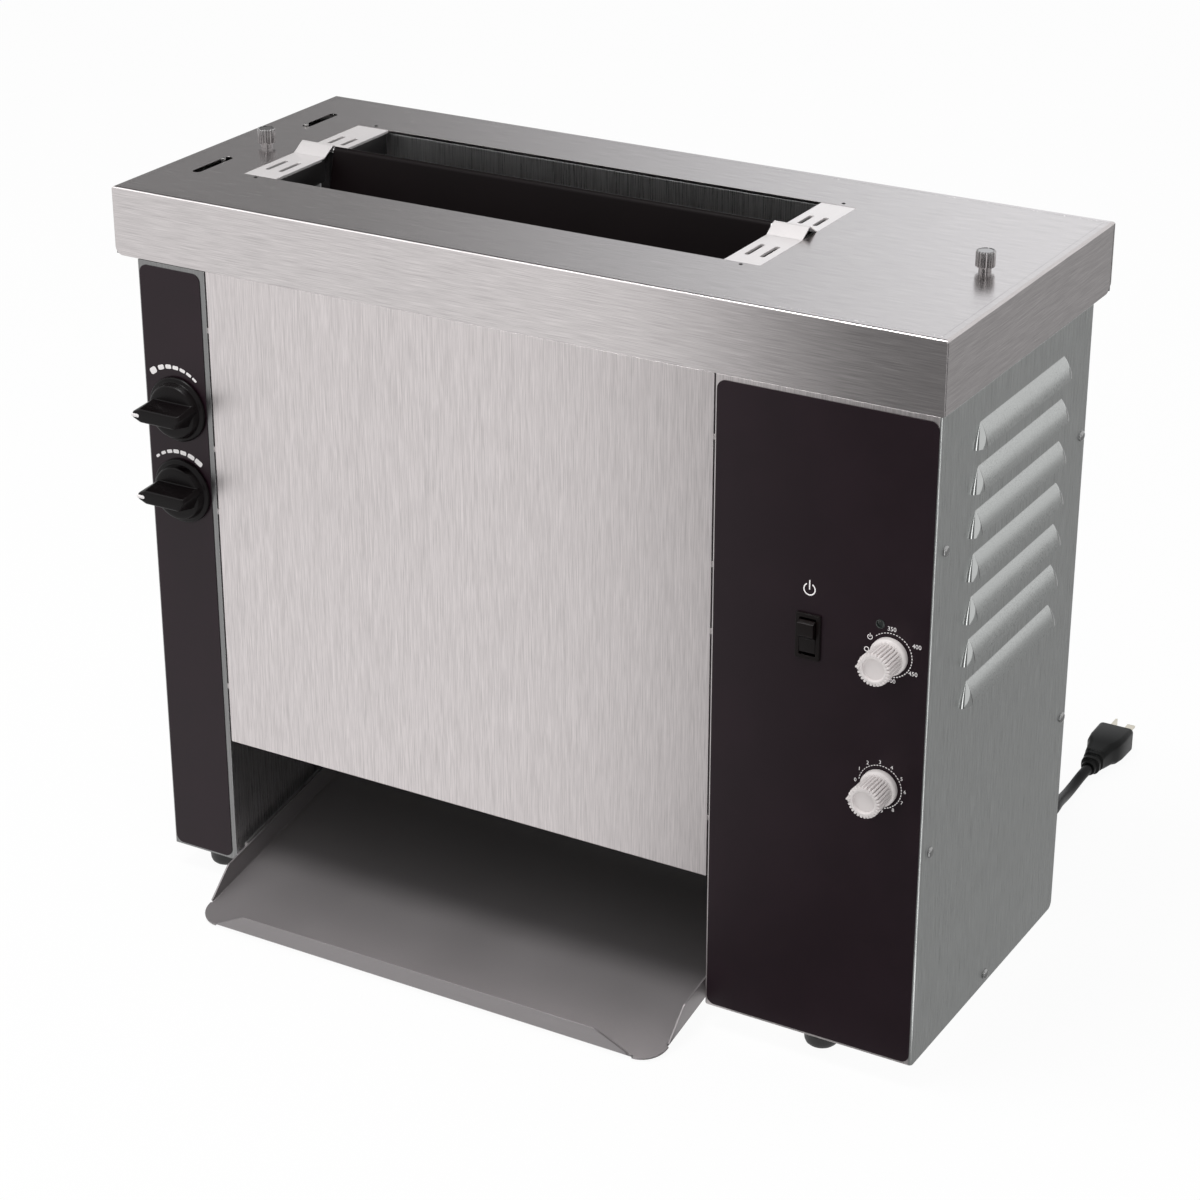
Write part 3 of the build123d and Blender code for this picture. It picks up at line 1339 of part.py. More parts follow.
def cord_tube(route):
    """Straight runs joined by tangent arcs, swept with the cord's round section."""
    points = [Vector(exit_point[0] + x, front + y, z) for x, y, z in route]
    radii = []
    for before, here, after in zip(points, points[1:], points[2:]):
        turn = radians((here - before).get_angle(after - here))
        run = min((here - before).length, (after - here).length)
        radii.append(0.45 * run / tan(turn / 2))
    print("cord radii", [round(radius, 1) for radius in radii])
    with BuildPart() as tube:
        with BuildLine() as path:
            FilletPolyline(*points, radius=radii)
        with BuildSketch(Plane(origin=path.line @ 0, z_dir=path.line % 0)):
            Circle(cord_radius)
        sweep()
    length = path.wire().length
    print("cord tube", round(length, 1), "mm, volume ratio",
          round(tube.part.volume / (pi * cord_radius ** 2 * length), 4))
    return tube.part


with BuildPart() as power_cord:
    add(cord_tube(entry_route))
    add(cord_tube(plug_route))
write(power_cord.part, "power_cord")

with BuildPart() as cord_coil:
    bar_z(coil_mid[0], coil_mid[1], (floor_gap, coil_top), coil_outside)
    bar_z(coil_mid[0], coil_mid[1], (floor_gap, coil_top),
          coil_radius - cord_diameter * coil_turns_wide / 2, mode=Mode.SUBTRACT)
write(cord_coil.part, "cord_coil")

plug_x = exit_point[0] + plug_route[-1][0]
plug_start = front + plug_route[-1][1]

with BuildPart() as plug:
    with BuildSketch(Plane(origin=(plug_x, plug_start, plug_route[-1][2]), x_dir=(1, 0, 0),
                           z_dir=(0, 1, 0))):
        Circle(cord_radius + gland_wall)
    with BuildSketch(Plane(origin=(plug_x, plug_start + plug_relief, plug_mid_z),
                           x_dir=(1, 0, 0), z_dir=(0, 1, 0))):
        Circle(plug_relief_radius)
    loft()
    slab((plug_x - plug_width / 2, plug_x + plug_width / 2),
         (plug_start + plug_relief, plug_start + plug_relief + plug_length),
         (plug_mid_z - plug_height / 2, plug_mid_z + plug_height / 2))
    fillet(plug.edges().filter_by(Axis.Y), radius=plug_round)
write(plug.part, "plug")

blade_start = plug_start + plug_relief + plug_length
with BuildPart() as plug_blades:
    slab((plug_x - blade_spread - blade_thickness / 2, plug_x - blade_spread + blade_thickness / 2),
         (blade_start, blade_start + blade_length),
         (blade_z - blade_width / 2, blade_z + blade_width / 2))
    slab((plug_x + blade_spread - blade_width / 2, plug_x + blade_spread + blade_width / 2),
         (blade_start, blade_start + blade_length),
         (blade_z - blade_thickness / 2, blade_z + blade_thickness / 2))
    bar_y(plug_x, blade_z - ground_drop,
          (blade_start, blade_start + blade_length + ground_past_blades), ground_radius)
write(plug_blades.part, "plug_blades")
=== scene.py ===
"""Conveyor toaster: its finishes and formed shapes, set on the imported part, with camera and light.

The pieces are drawn in millimetres in the part's own frame and set down in metres: X runs to
the right, Y to the back and Z up, and the toaster stands on Z = 0.
"""

from math import cos, pi, radians, sin, sqrt, tan

import bmesh
import bpy
from mathutils import Matrix, Vector


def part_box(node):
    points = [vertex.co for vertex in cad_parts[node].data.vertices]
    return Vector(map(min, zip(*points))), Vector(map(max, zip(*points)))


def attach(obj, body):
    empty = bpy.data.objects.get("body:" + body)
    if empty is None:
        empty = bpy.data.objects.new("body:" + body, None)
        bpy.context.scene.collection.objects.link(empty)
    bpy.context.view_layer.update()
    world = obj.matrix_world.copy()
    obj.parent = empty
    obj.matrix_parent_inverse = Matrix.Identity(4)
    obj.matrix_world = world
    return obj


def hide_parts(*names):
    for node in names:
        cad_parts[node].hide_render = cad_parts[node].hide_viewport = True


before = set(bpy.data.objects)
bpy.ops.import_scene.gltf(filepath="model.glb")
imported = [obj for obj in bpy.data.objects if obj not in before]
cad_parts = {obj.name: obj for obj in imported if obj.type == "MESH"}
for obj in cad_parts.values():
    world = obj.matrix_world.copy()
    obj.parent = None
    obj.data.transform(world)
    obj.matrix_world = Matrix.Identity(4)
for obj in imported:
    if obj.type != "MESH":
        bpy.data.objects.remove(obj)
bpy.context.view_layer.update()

scene = bpy.context.scene
MM = 0.001


def span(node):
    """Lowest and highest corner of a part's node, in millimetres."""
    low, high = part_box(node)
    return low / MM, high / MM


def linked(name, data):
    """A new object, linked to the scene."""
    made = bpy.data.objects.new(name, data)
    scene.collection.objects.link(made)
    return made


(left, front, skirt_bottom), (right, rear, top) = span("lid")
(cab_left, _, foot_height), (knob_wall, back_inner, _) = span("knob_housing")
control_wall = span("control_housing")[0].x
cab_back = span("left_side_panel")[1].y
overlay_face = span("knob_overlay")[0].y
sheet = 1.2
bend = 2.4

# Middles of what stands in the lid and in the control overlay
thumb_x = {"left_thumb_screw": left + 36.0, "right_thumb_screw": left + 587.0}
thumb_y = front + 130.1
temperature_spot = (left + 592.2, 311.9)
speed_spot = (left + 589.3, 218.8)
lamp_spot = (left + 584.9, 331.7)
switch_spot = (left + 535.7, 311.7)

# ---- camera

azimuth, elevation = radians(30.08), radians(24.67)
forward = Vector((-sin(azimuth) * cos(elevation), cos(azimuth) * cos(elevation), -sin(elevation)))
lens = bpy.data.cameras.new("camera")
lens.sensor_width = 36.0
lens.lens = 90.92
lens.clip_start, lens.clip_end = 0.05, 50.0
camera = linked("camera", lens)
camera.location = (0.97255, -1.65838, 1.12740)
camera.rotation_mode = "QUATERNION"
camera.rotation_quaternion = forward.to_track_quat("-Z", "Y")
scene.camera = camera

# ---- cord

cord_diameter = 8.4
gland = Vector((241.75, 163.022, 31.0))
coil_y = front + 362.0
coil_radii = (50.6, 42.2, 33.8, 33.8, 42.2, 50.6)
coil_steps = (-8.4, -8.4, 0.0, 8.4, 8.4, 8.4)
coil_low, coil_high = 4.4, 12.8
points_a_turn = 16
crossing = 67.5
sidestep = 3.8

# x from the gland, y from the front, height
entry_route = (
    (0.0, 265.4, 31.0),
    (-0.3, 282.0, 30.6),
    (-0.6, 298.0, 24.4),
    (-0.4, 312.5, 15.8),
    (-0.1, 326.0, 7.2),
    (0.0, 338.0, 4.4),
    (0.0, 352.0, 4.4),
)
plug_route = (
    (8.4, 372.0, 12.8),
    (8.0, 386.0, 12.6),
    (5.6, 399.0, 11.0),
    (3.2, 413.0, 7.4),
    (1.6, 429.0, 4.5),
    (1.2, 445.0, 4.9),
    (2.1, 458.5, 8.0),
    (3.0, 468.0, 8.8),
)


def coil_points():
    """Turns side by side in two layers, which step over each other where the cord comes in."""
    middle = Vector((gland.x - coil_radii[0], coil_y, 0.0))
    step = 360.0 / points_a_turn
    for count in range(points_a_turn * len(coil_radii)):
        turn, angle = divmod((count + 0.5) * step, 360.0)
        turn = int(turn)
        share = max(0.0, (angle - 360.0 + crossing) / crossing)
        share = share * share * (3 - 2 * share)
        radius = coil_radii[turn] + coil_steps[turn] * share
        height = coil_low if turn < 3 else coil_high
        if turn == 2:
            height += (coil_high - coil_low) * share
            radius -= sidestep * sin(pi * share)
        radius /= cos(radians(step / 2))
        yield middle + Vector((radius * cos(radians(angle)), radius * sin(radians(angle)), height))


def cord_spline():
    """The cord's centreline in metres, from the gland to the plug."""
    points = [Vector((gland.x + x, front + y, z)) for x, y, z in entry_route]
    points += coil_points()
    points += [Vector((gland.x + x, front + y, z)) for x, y, z in plug_route]
    curve = bpy.data.curves.new("mains_cord", "CURVE")
    curve.dimensions = "3D"
    curve.bevel_depth = 1.0
    curve.bevel_resolution = 5
    curve.resolution_u = 5
    curve.use_fill_caps = True
    line = curve.splines.new("NURBS")
    line.points.add(len(points) - 1)
    for spot, point in zip(line.points, points):
        spot.co = (*(point * MM), 1.0)
        spot.radius = cord_diameter / 2 * MM
    line.order_u = 3
    line.use_endpoint_u = True
    return linked("mains_cord", curve)


cord = cord_spline()

# ---- finishes


class Signal:
    """A shader socket whose arithmetic adds Math nodes to its own finish."""

    def __init__(self, finish, socket):
        self.finish = finish
        self.socket = socket

    def math(self, operation, *values):
        return self.finish.node("ShaderNodeMath", {"operation": operation},
                                dict(enumerate(values)))

    def __add__(self, other):
        return self.math("ADD", self, other)

    def __sub__(self, other):
        return self.math("SUBTRACT", self, other)

    def __rsub__(self, other):
        return self.math("SUBTRACT", other, self)

    def __mul__(self, other):
        return self.math("MULTIPLY", self, other)

    def __truediv__(self, other):
        return self.math("DIVIDE", self, other)

    def clamped(self):
        return self.math("MINIMUM", self.math("MAXIMUM", self, 0.0), 1.0)

    def between(self, low, high):
        """0 below low, 1 above high and smooth between them."""
        share = ((self - low) / (high - low)).clamped()
        return share * share * (3.0 - share * 2.0)


class Finish:
    """The nodes of one material, or of the world."""

    def __init__(self, name, world=False):
        self.owner = (bpy.data.worlds if world else bpy.data.materials).new(name)
        self.owner.use_nodes = True
        self.tree = self.owner.node_tree
        self.tree.nodes.clear()
        self.end = "ShaderNodeOutputWorld" if world else "ShaderNodeOutputMaterial"

    def node(self, kind, settings=None, sockets=None, output=0):
        made = self.tree.nodes.new(kind)
        for name, value in (settings or {}).items():
            setattr(made, name, value)
        for name, value in (sockets or {}).items():
            if isinstance(value, Signal):
                self.tree.links.new(value.socket, made.inputs[name])
            else:
                made.inputs[name].default_value = value
        return Signal(self, made.outputs[output]) if made.outputs else None

    def close(self, shader):
        self.node(self.end, {}, {"Surface": shader})
        return self.owner

    def principled(self, sockets):
        return self.close(self.node("ShaderNodeBsdfPrincipled", {}, sockets))

    def place(self, stretch=(1.0, 1.0, 1.0)):
        """Place in the part's frame, in metres, stretched along each axis."""
        where = self.node("ShaderNodeTexCoord", output="Object")
        return self.node("ShaderNodeVectorMath", {"operation": "MULTIPLY"},
                         {0: where, 1: stretch})

    def noise(self, stretch, scale=1.0, detail=2.0, roughness=0.5):
        """Noise in the part's frame, stretched by one number or one for each axis."""
        if not isinstance(stretch, tuple):
            stretch = (stretch,) * 3
        return self.node("ShaderNodeTexNoise", {},
                         {"Vector": self.place(stretch), "Scale": scale, "Detail": detail,
                          "Roughness": roughness})

    def blend(self, share, dark, light):
        """Colour between two, by a share from 0 to 1."""
        return self.node("ShaderNodeMix", {"data_type": "RGBA"},
                         {"Factor": share, 6: dark, 7: light}, output=2)

    def varied(self, share, tone, amount):
        """A tone that varies by an amount to its dark and its light side."""
        return self.blend(share, tint(tone, 1 - amount), tint(tone, 1 + amount))

    def flanks(self):
        """1 on faces that look to the left or right and 0 on the others."""
        facing = self.node("ShaderNodeSeparateXYZ", {},
                           {0: self.node("ShaderNodeNewGeometry", output="True Normal")})
        return (facing * facing).between(0.4, 0.6)

    def seen(self):
        """1 for rays of the camera, of reflections and of clear pieces, and 0 for other light."""
        camera_ray, glossy, clear = (
            self.node("ShaderNodeLightPath", output=f"Is {kind} Ray")
            for kind in ("Camera", "Glossy", "Transmission"))
        return (camera_ray + glossy + clear).clamped()

    def normal(self, height, strength, distance, edge):
        """Normal with fine relief, and with the sheet's edges rounded by a radius in metres."""
        sockets = {"Height": height, "Strength": strength, "Distance": distance}
        if edge:
            sockets["Normal"] = self.node("ShaderNodeBevel", {"samples": 4}, {"Radius": edge})
        return self.node("ShaderNodeBump", {}, sockets)


def tint(tone, gain):
    """A colour written as 0 to 255 on screen, as linear light times a gain."""
    def linear(value):
        value /= 255.0
        return value / 12.92 if value <= 0.04045 else ((value + 0.055) / 1.055) ** 2.4
    return (*(min(1.0, linear(value) * gain) for value in tone), 1.0)


def brushed(name, tone, grain, rough, contrast, length=30.0, spread=0.0, edge=0.0005,
            painted_side_light=None, lines=3600.0):
    """Stainless sheet with a brushed grain: upright, or lid for level all round it. The length
    is that of a scratch, in millimetres, and there are so many lines to a metre. Faces that
    look sideways take the painted_side_light tone, where there is one: painted light, a
    second tone for how light falls on those faces."""
    finish = Finish(name)
    fine, broad = [], []
    for axis in {"upright": (2,), "lid": (0, 1)}[grain]:
        for layers, width, long in ((fine, lines, 1.0), (broad, 300.0, 2.2)):
            stretch = [width] * 3
            stretch[axis] = 1000.0 / (length * long)
            layers.append(finish.noise(tuple(stretch), roughness=0.6))
    if grain == "lid":
        end = finish.flanks()
        fine, broad = ([layers[0] * (1.0 - end) + layers[1] * end] for layers in (fine, broad))
    fine, broad = fine[0], broad[0]
    cloud = finish.noise(6.0)
    streak = ((fine - 0.5) * 2.8 + (broad - 0.5) * 0.16 + 0.5).clamped()
    colour = finish.varied(streak, tone, contrast)
    # Painted light: faces that look sideways take their own painted tone in place of the front's,
    # for how light falls on them.
    if painted_side_light:
        colour = finish.blend(finish.flanks(), colour, finish.varied(streak, painted_side_light, contrast))
    gloss = (fine - 0.5) * 0.2 + (cloud - 0.5) * 0.06 + rough
    return finish.principled({
        "Base Color": colour, "Metallic": 1.0, "Roughness": gloss.clamped(),
        "Anisotropic": spread,
        "Normal": finish.normal(fine + broad * 0.3, 0.3, 0.00005, edge)})


def satin(name, tone, rough, metal=1.0, mottle=0.05, relief=0.1, edge=0.0006):
    """Smooth metal or paint with a soft mottle in colour and gloss."""
    finish = Finish(name)
    cloud = finish.noise(9.0, detail=3.0)
    grit = finish.noise(60.0, scale=12.0)
    return finish.principled({
        "Base Color": finish.varied((cloud * 0.7 + grit * 0.3).between(0.3, 0.7), tone, mottle),
        "Metallic": metal,
        "Roughness": ((cloud - 0.5) * 0.14 + (grit - 0.5) * 0.06 + rough).clamped(),
        "Normal": finish.normal(grit, relief, 0.00003, edge)})


def moulded(name, tone, rough, relief=0.25, scale=900.0, edge=0.0008, coat=0.0, gleam=0.5):
    """Moulded plastic or rubber with fine spark texture."""
    finish = Finish(name)
    spark = finish.noise(scale, detail=3.0, roughness=0.6)
    cloud = finish.noise(24.0)
    return finish.principled({
        "Base Color": finish.varied(cloud.between(0.3, 0.7), tone, 0.08),
        "Specular IOR Level": gleam, "Coat Weight": coat, "Coat Roughness": 0.2,
        "Roughness": ((spark - 0.5) * 0.12 + (cloud - 0.5) * 0.1 + rough).clamped(),
        "Normal": finish.normal(spark, relief, 0.00005, edge)})


centre_steel = brushed("brushed_centre_panel", (208, 202, 202), "upright", 0.36, 0.2,
                       length=20.0, spread=0.5)
lid_steel = brushed("brushed_lid", (201, 196, 196), "lid", 0.22, 0.17, length=26.0,
                    edge=0.0002, lines=3000.0)
side_steel = brushed("brushed_side", (180, 182, 181), "upright", 0.3, 0.24, length=24.0)
# Painted light: the housing's sideways faces, its inner wall and bent edges, are painted much
# lighter than its front faces, for how light falls on them.
housing_steel_painted_light = brushed("brushed_housing_painted_light", (134, 134, 134), "upright", 0.3, 0.16,
                        painted_side_light=(244, 243, 243))
nose_steel = satin("drawn_louvre_steel", (184, 186, 185), 0.1, mottle=0.03, relief=0.02,
                   edge=0.0)
# Painted light: the steel inside the body, chute, base pan and tray rails, is painted much lighter
# than the outer steel to make up for the shade it stands in.
inner_steel_painted_light = brushed("brushed_inner_painted_light", (242, 240, 240), "upright", 0.34, 0.1)
plate_steel = satin("throat_plate_steel", (226, 222, 222), 0.34, metal=0.45, mottle=0.03,
                    relief=0.03)
rivet_steel = satin("dark_rivet_steel", (40, 38, 39), 0.4)
# Painted shade: a near-black tone for the crosses set in the screw heads' recesses, standing in for
# the shade inside them.
painted_recess_shade = satin("screw_recess_painted_shade", (30, 29, 29), 0.5)
# Painted light: the bun guides, in the shade inside the opening, are painted a lighter steel tone to
# make up for it.
guide_steel_painted_light = brushed("guide_steel_painted_light", (232, 232, 232), "upright", 0.3, 0.2)
tray_steel = satin("tray_steel", (141, 137, 138), 0.45, metal=0.7, mottle=0.03, relief=0.03)
plain_steel = satin("mill_steel", (176, 175, 174), 0.34)
bright_steel = satin("bright_steel", (164, 162, 162), 0.16, mottle=0.03, relief=0.04)
screw_steel = satin("screw_steel", (158, 158, 158), 0.2, mottle=0.03, relief=0.04)
flange_steel = satin("throat_flange_steel", (50, 48, 49), 0.5, metal=0.7)
turned_steel = satin("turned_aluminium", (208, 208, 208), 0.24, mottle=0.04)
overlay_film = moulded("overlay_film", (29, 13, 22), 0.38, relief=0.05, scale=1400.0,
                       edge=0.0002, gleam=0.27)
print_ink = moulded("print_ink", (246, 242, 242), 0.5, relief=0.05, edge=0.0)
knob_black = moulded("pointer_knob_black", (8, 4, 5), 0.3, relief=0.06, gleam=0.16)
knob_grey = moulded("dial_knob_grey", (212, 206, 205), 0.42, relief=0.06, edge=0.0003)
switch_black = moulded("switch_black", (17, 9, 9), 0.34, relief=0.06, edge=0.0003,
                       gleam=0.24)
lamp_lens = moulded("lamp_lens", (44, 50, 48), 0.12, relief=0.02, coat=0.6, edge=0.0)
foot_rubber = moulded("foot_rubber", (24, 23, 24), 0.5, relief=0.3)
cord_rubber = moulded("cord_rubber", (6, 6, 8), 0.42, relief=0.2, scale=1200.0, edge=0.0,
                      gleam=0.16)
plug_black = moulded("plug_black", (5, 6, 6), 0.4, relief=0.12, gleam=0.14)
cast_iron = moulded("cast_platen", (70, 68, 66), 0.55, relief=0.5, scale=500.0)
release_black = moulded("release_film", (11, 5, 6), 0.5, relief=0.05, scale=300.0,
                        edge=0.0, gleam=0.1)
belt_silicone = moulded("silicone_belt", (44, 42, 42), 0.55, relief=0.2)
bush_bronze = satin("bush_bronze", (186, 142, 84), 0.3)
motor_paint = satin("motor_paint", (52, 54, 58), 0.4, metal=0.0)
board_green = moulded("board_green", (26, 84, 52), 0.4, relief=0.1)
fan_black = moulded("fan_black", (28, 28, 29), 0.45)
blade_metal = satin("blade_metal", (206, 200, 186), 0.22)

# ---- shapes


def flat(u, v, level):
    """Drawn from above: u is X, v is Y and the level is Z."""
    return (u, v, level)


def upright(u, v, level):
    """Drawn from the front: u is X, v is Z and the level is Y."""
    return (u, level, v)


def sideways(u, v, level):
    """Drawn from the side: u is Y, v is Z and the level is X."""
    return (level, u, v)


def arc(centre, radius, start, end, steps):
    """Points round a centre, with angles in degrees."""
    return [(centre[0] + radius * cos(radians(start + (end - start) * n / steps)),
             centre[1] + radius * sin(radians(start + (end - start) * n / steps)))
            for n in range(steps + 1)]


def circle(centre, radius, points=24):
    return arc(centre, radius, 0, 360 - 360 / points, points - 1)


def rounded(low, high, radius, steps=5):
    """Outline of a rectangle; the radius is one number or one for each corner from the low one."""
    radii = radius if isinstance(radius, tuple) else (radius,) * 4
    corners = ((low[0], low[1], 1, 1, 180), (high[0], low[1], -1, 1, 270),
               (high[0], high[1], -1, -1, 0), (low[0], high[1], 1, -1, 90))
    points = []
    for (u, v, inward_u, inward_v, start), r in zip(corners, radii):
        if r:
            points += arc((u + inward_u * r, v + inward_v * r), r, start, start + 90, steps)
        else:
            points.append((u, v))
    return points


def stadium(low, high):
    """Outline of a slot with round ends between two corners."""
    return rounded(low, high, min(high[0] - low[0], high[1] - low[1]) / 2 - 1e-3, 8)


def softened(corners, radii, steps):
    """Outline through corners, each rounded by its radius."""
    points = []
    for n, (corner, r) in enumerate(zip(corners, radii)):
        here = Vector(corner)
        before = Vector(corners[n - 1]) - here
        after = Vector(corners[(n + 1) % len(corners)]) - here
        if r <= 0:
            points.append(tuple(here))
            continue
        half = before.angle(after) / 2
        reach = min(r / tan(half), before.length * 0.49, after.length * 0.49)
        start, end = here + before.normalized() * reach, here + after.normalized() * reach
        for k in range(steps + 1):
            t = k / steps
            points.append(tuple(start * (1 - t) ** 2 + here * 2 * t * (1 - t) + end * t * t))
    return points


def placed(outline, angle, centre):
    """An outline turned clockwise by an angle in degrees and moved to a centre."""
    c, s = cos(radians(-angle)), sin(radians(-angle))
    return [(centre[0] + u * c - v * s, centre[1] + u * s + v * c) for u, v in outline]


quarter_turn = [radians(9 * n) for n in range(11)]


def bend_section():
    """Section of a quarter bend in the sheet: how far each point is from the two flat sides."""
    inner = bend - sheet
    return [(bend - r * sin(t), bend - r * cos(t))
            for r, turn in ((bend, quarter_turn), (inner, quarter_turn[::-1])) for t in turn]


class Shape:
    """A mesh in the making, in millimetres."""

    def __init__(self):
        self.mesh = bmesh.new()

    def loop(self, points):
        return [self.mesh.verts.new(point) for point in points]

    def skin(self, loops, ends=True, closed=True):
        """Faces from each loop of points to the next one."""
        rows = [self.loop(points) for points in loops]
        for low, high in zip(rows, rows[1:]):
            for n in range(len(low) if closed else len(low) - 1):
                m = (n + 1) % len(low)
                self.mesh.faces.new((low[n], low[m], high[m], high[n]))
        if ends:
            self.mesh.faces.new(rows[0][::-1])
            self.mesh.faces.new(rows[-1])

    def plate(self, outline, low, high, place, holes=()):
        """A flat sheet with holes, between two levels."""
        sides = []
        for level in (low, high):
            rings = [self.loop([place(u, v, level) for u, v in ring])
                     for ring in (outline, *holes)]
            edges = [self.mesh.edges.new((ring[n - 1], ring[n]))
                     for ring in rings for n in range(len(ring))]
            bmesh.ops.triangle_fill(self.mesh, use_beauty=True, edges=edges)
            sides.append(rings)
        for lower, upper in zip(*sides):
            for n in range(len(lower)):
                self.mesh.faces.new((lower[n - 1], lower[n], upper[n], upper[n - 1]))

    def block(self, low, high, bevel):
        """A box with small rounded edges."""
        made = bmesh.ops.create_cube(self.mesh, size=1.0)
        middle = (Vector(low) + Vector(high)) / 2
        size = Vector(high) - Vector(low)
        for vert in made["verts"]:
            vert.co = middle + Vector([a * b for a, b in zip(vert.co, size)])
        if bevel:
            edges = {edge for vert in made["verts"] for edge in vert.link_edges}
            bmesh.ops.bevel(self.mesh, geom=list(edges), offset=min(bevel, min(size) * 0.4),
                            segments=2, profile=0.5, affect="EDGES")

    def turned(self, profile, centre, axis, around, shape=None):
        """A turned form: profile is radius and distance along the axis. Where shape is given,
        it changes the radius by row and angle."""
        centre = Vector(centre)
        u, v, w = (Vector(direction) for direction in {
            "z": ((1, 0, 0), (0, 1, 0), (0, 0, 1)), "y": ((1, 0, 0), (0, 0, 1), (0, 1, 0)),
            "-y": ((1, 0, 0), (0, 0, 1), (0, -1, 0))}[axis])
        loops = []
        for row, (radius, along) in enumerate(profile):
            ring = []
            for n in range(around):
                angle = 2 * pi * n / around
                r = max(0.0, radius + (shape(row, angle) if shape else 0.0))
                ring.append(centre + u * r * cos(angle) + v * r * sin(angle) + w * along)
            loops.append(ring)
        self.skin(loops, ends=False)

    def take(self, other, matrix):
        """Adds a copy of another shape, moved by a matrix."""
        data = bpy.data.meshes.new("copy")
        other.mesh.to_mesh(data)
        data.transform(matrix)
        self.mesh.from_mesh(data)
        bpy.data.meshes.remove(data)

    def tidy(self, crease=32.0):
        """Joins what touches, and leaves edges sharp where they turn by more than a crease."""
        bmesh.ops.remove_doubles(self.mesh, verts=self.mesh.verts, dist=1e-3)
        bmesh.ops.dissolve_degenerate(self.mesh, edges=self.mesh.edges, dist=1e-4)
        bmesh.ops.recalc_face_normals(self.mesh, faces=self.mesh.faces)
        for face in self.mesh.faces:
            face.smooth = True
        for edge in self.mesh.edges:
            edge.smooth = edge.is_manifold and edge.calc_face_angle(0.0) < radians(crease)

    def set_down(self, name, body, finish, *nodes, slot, crease=32.0):
        """Makes the piece, which rides on a body and stands for the given nodes."""
        self.tidy(crease)
        data = bpy.data.meshes.new(name)
        self.mesh.transform(Matrix.Scale(MM, 4))
        self.mesh.to_mesh(data)
        self.mesh.free()
        data.materials.append(finish)
        piece = linked(name, data)
        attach(piece, body)
        if nodes:
            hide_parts(*nodes)
        return piece


def cut(shape, cutter):
    """Takes one shape out of another."""
    objects = []
    for part in (shape, cutter):
        part.tidy()
        data = bpy.data.meshes.new("cut")
        part.mesh.to_mesh(data)
        part.mesh.free()
        objects.append(linked("cut", data))
    body, tool = objects
    modifier = body.modifiers.new("cut", "BOOLEAN")
    modifier.operation = "DIFFERENCE"
    modifier.solver = "EXACT"
    modifier.object = tool
    graph = bpy.context.evaluated_depsgraph_get()
    result = bpy.data.meshes.new_from_object(body.evaluated_get(graph))
    made = Shape()
    made.mesh.from_mesh(result)
    for each in objects:
        bpy.data.objects.remove(each)
    return made


def lettering(text, height):
    """A word as a flat filled mesh centred on its middle, in millimetres."""
    curve = bpy.data.curves.new("lettering", "FONT")
    curve.body = text
    curve.size = height / 0.7
    curve.align_x = "CENTER"
    curve.align_y = "CENTER"
    curve.resolution_u = 3
    holder = linked("lettering", curve)
    graph = bpy.context.evaluated_depsgraph_get()
    data = bpy.data.meshes.new_from_object(holder.evaluated_get(graph))
    bpy.data.objects.remove(holder)
    return data


# ---- lid

fold = 2.0
lap = 6.0
skirt_corner = 6.0


def quarter(distance, radius):
    """How far a round corner cuts in, at a distance from its end."""
    return radius - sqrt(radius ** 2 - max(0.0, radius - distance) ** 2) if radius else 0.0


def flap(shape, along_x, start, end, face, way, corners):
    """A flap folded down from the lid's top, with rounded lower corners. The two long flaps
    also go round the top's corners, and the two end flaps tuck under them."""
    length = end - start
    stops = {0.0, length}
    for n in range(1, 9):
        share = 1 - cos(radians(90 * n / 8))
        stops |= {corners[0] * share, length - corners[1] * share}
        if along_x:
            stops |= {fold * share, length - fold * share}
    if not along_x:
        tuck = front + lap - start
        stops |= {tuck, tuck + 0.02, length - tuck, length - tuck - 0.02}

    def section(stop):
        bottom = skirt_bottom + quarter(stop, corners[0]) + quarter(length - stop, corners[1])
        if along_x:
            drop = quarter(stop, fold) + quarter(length - stop, fold)
        else:
            drop = fold + 0.05 if min(stop, length - stop) < tuck + 0.01 else 0.0
        points = [(lap, top)]
        points += [(fold - fold * sin(a), top - fold + fold * cos(a)) for a in quarter_turn]
        points += [(0.0, bottom + 0.1), (0.1, bottom), (sheet - 0.1, bottom), (sheet, bottom + 0.1)]
        inner = fold - sheet
        points += [(fold - inner * sin(a), top - fold + inner * cos(a))
                   for a in quarter_turn[::-1]]
        points += [(lap, top - sheet)]
        spots = [(face + way * depth, min(z, top - drop)) for depth, z in points]
        if along_x:
            return [(start + stop, y, z) for y, z in spots]
        return [(x, start + stop, z) for x, z in spots]

    shape.skin([section(stop) for stop in sorted(stops)])


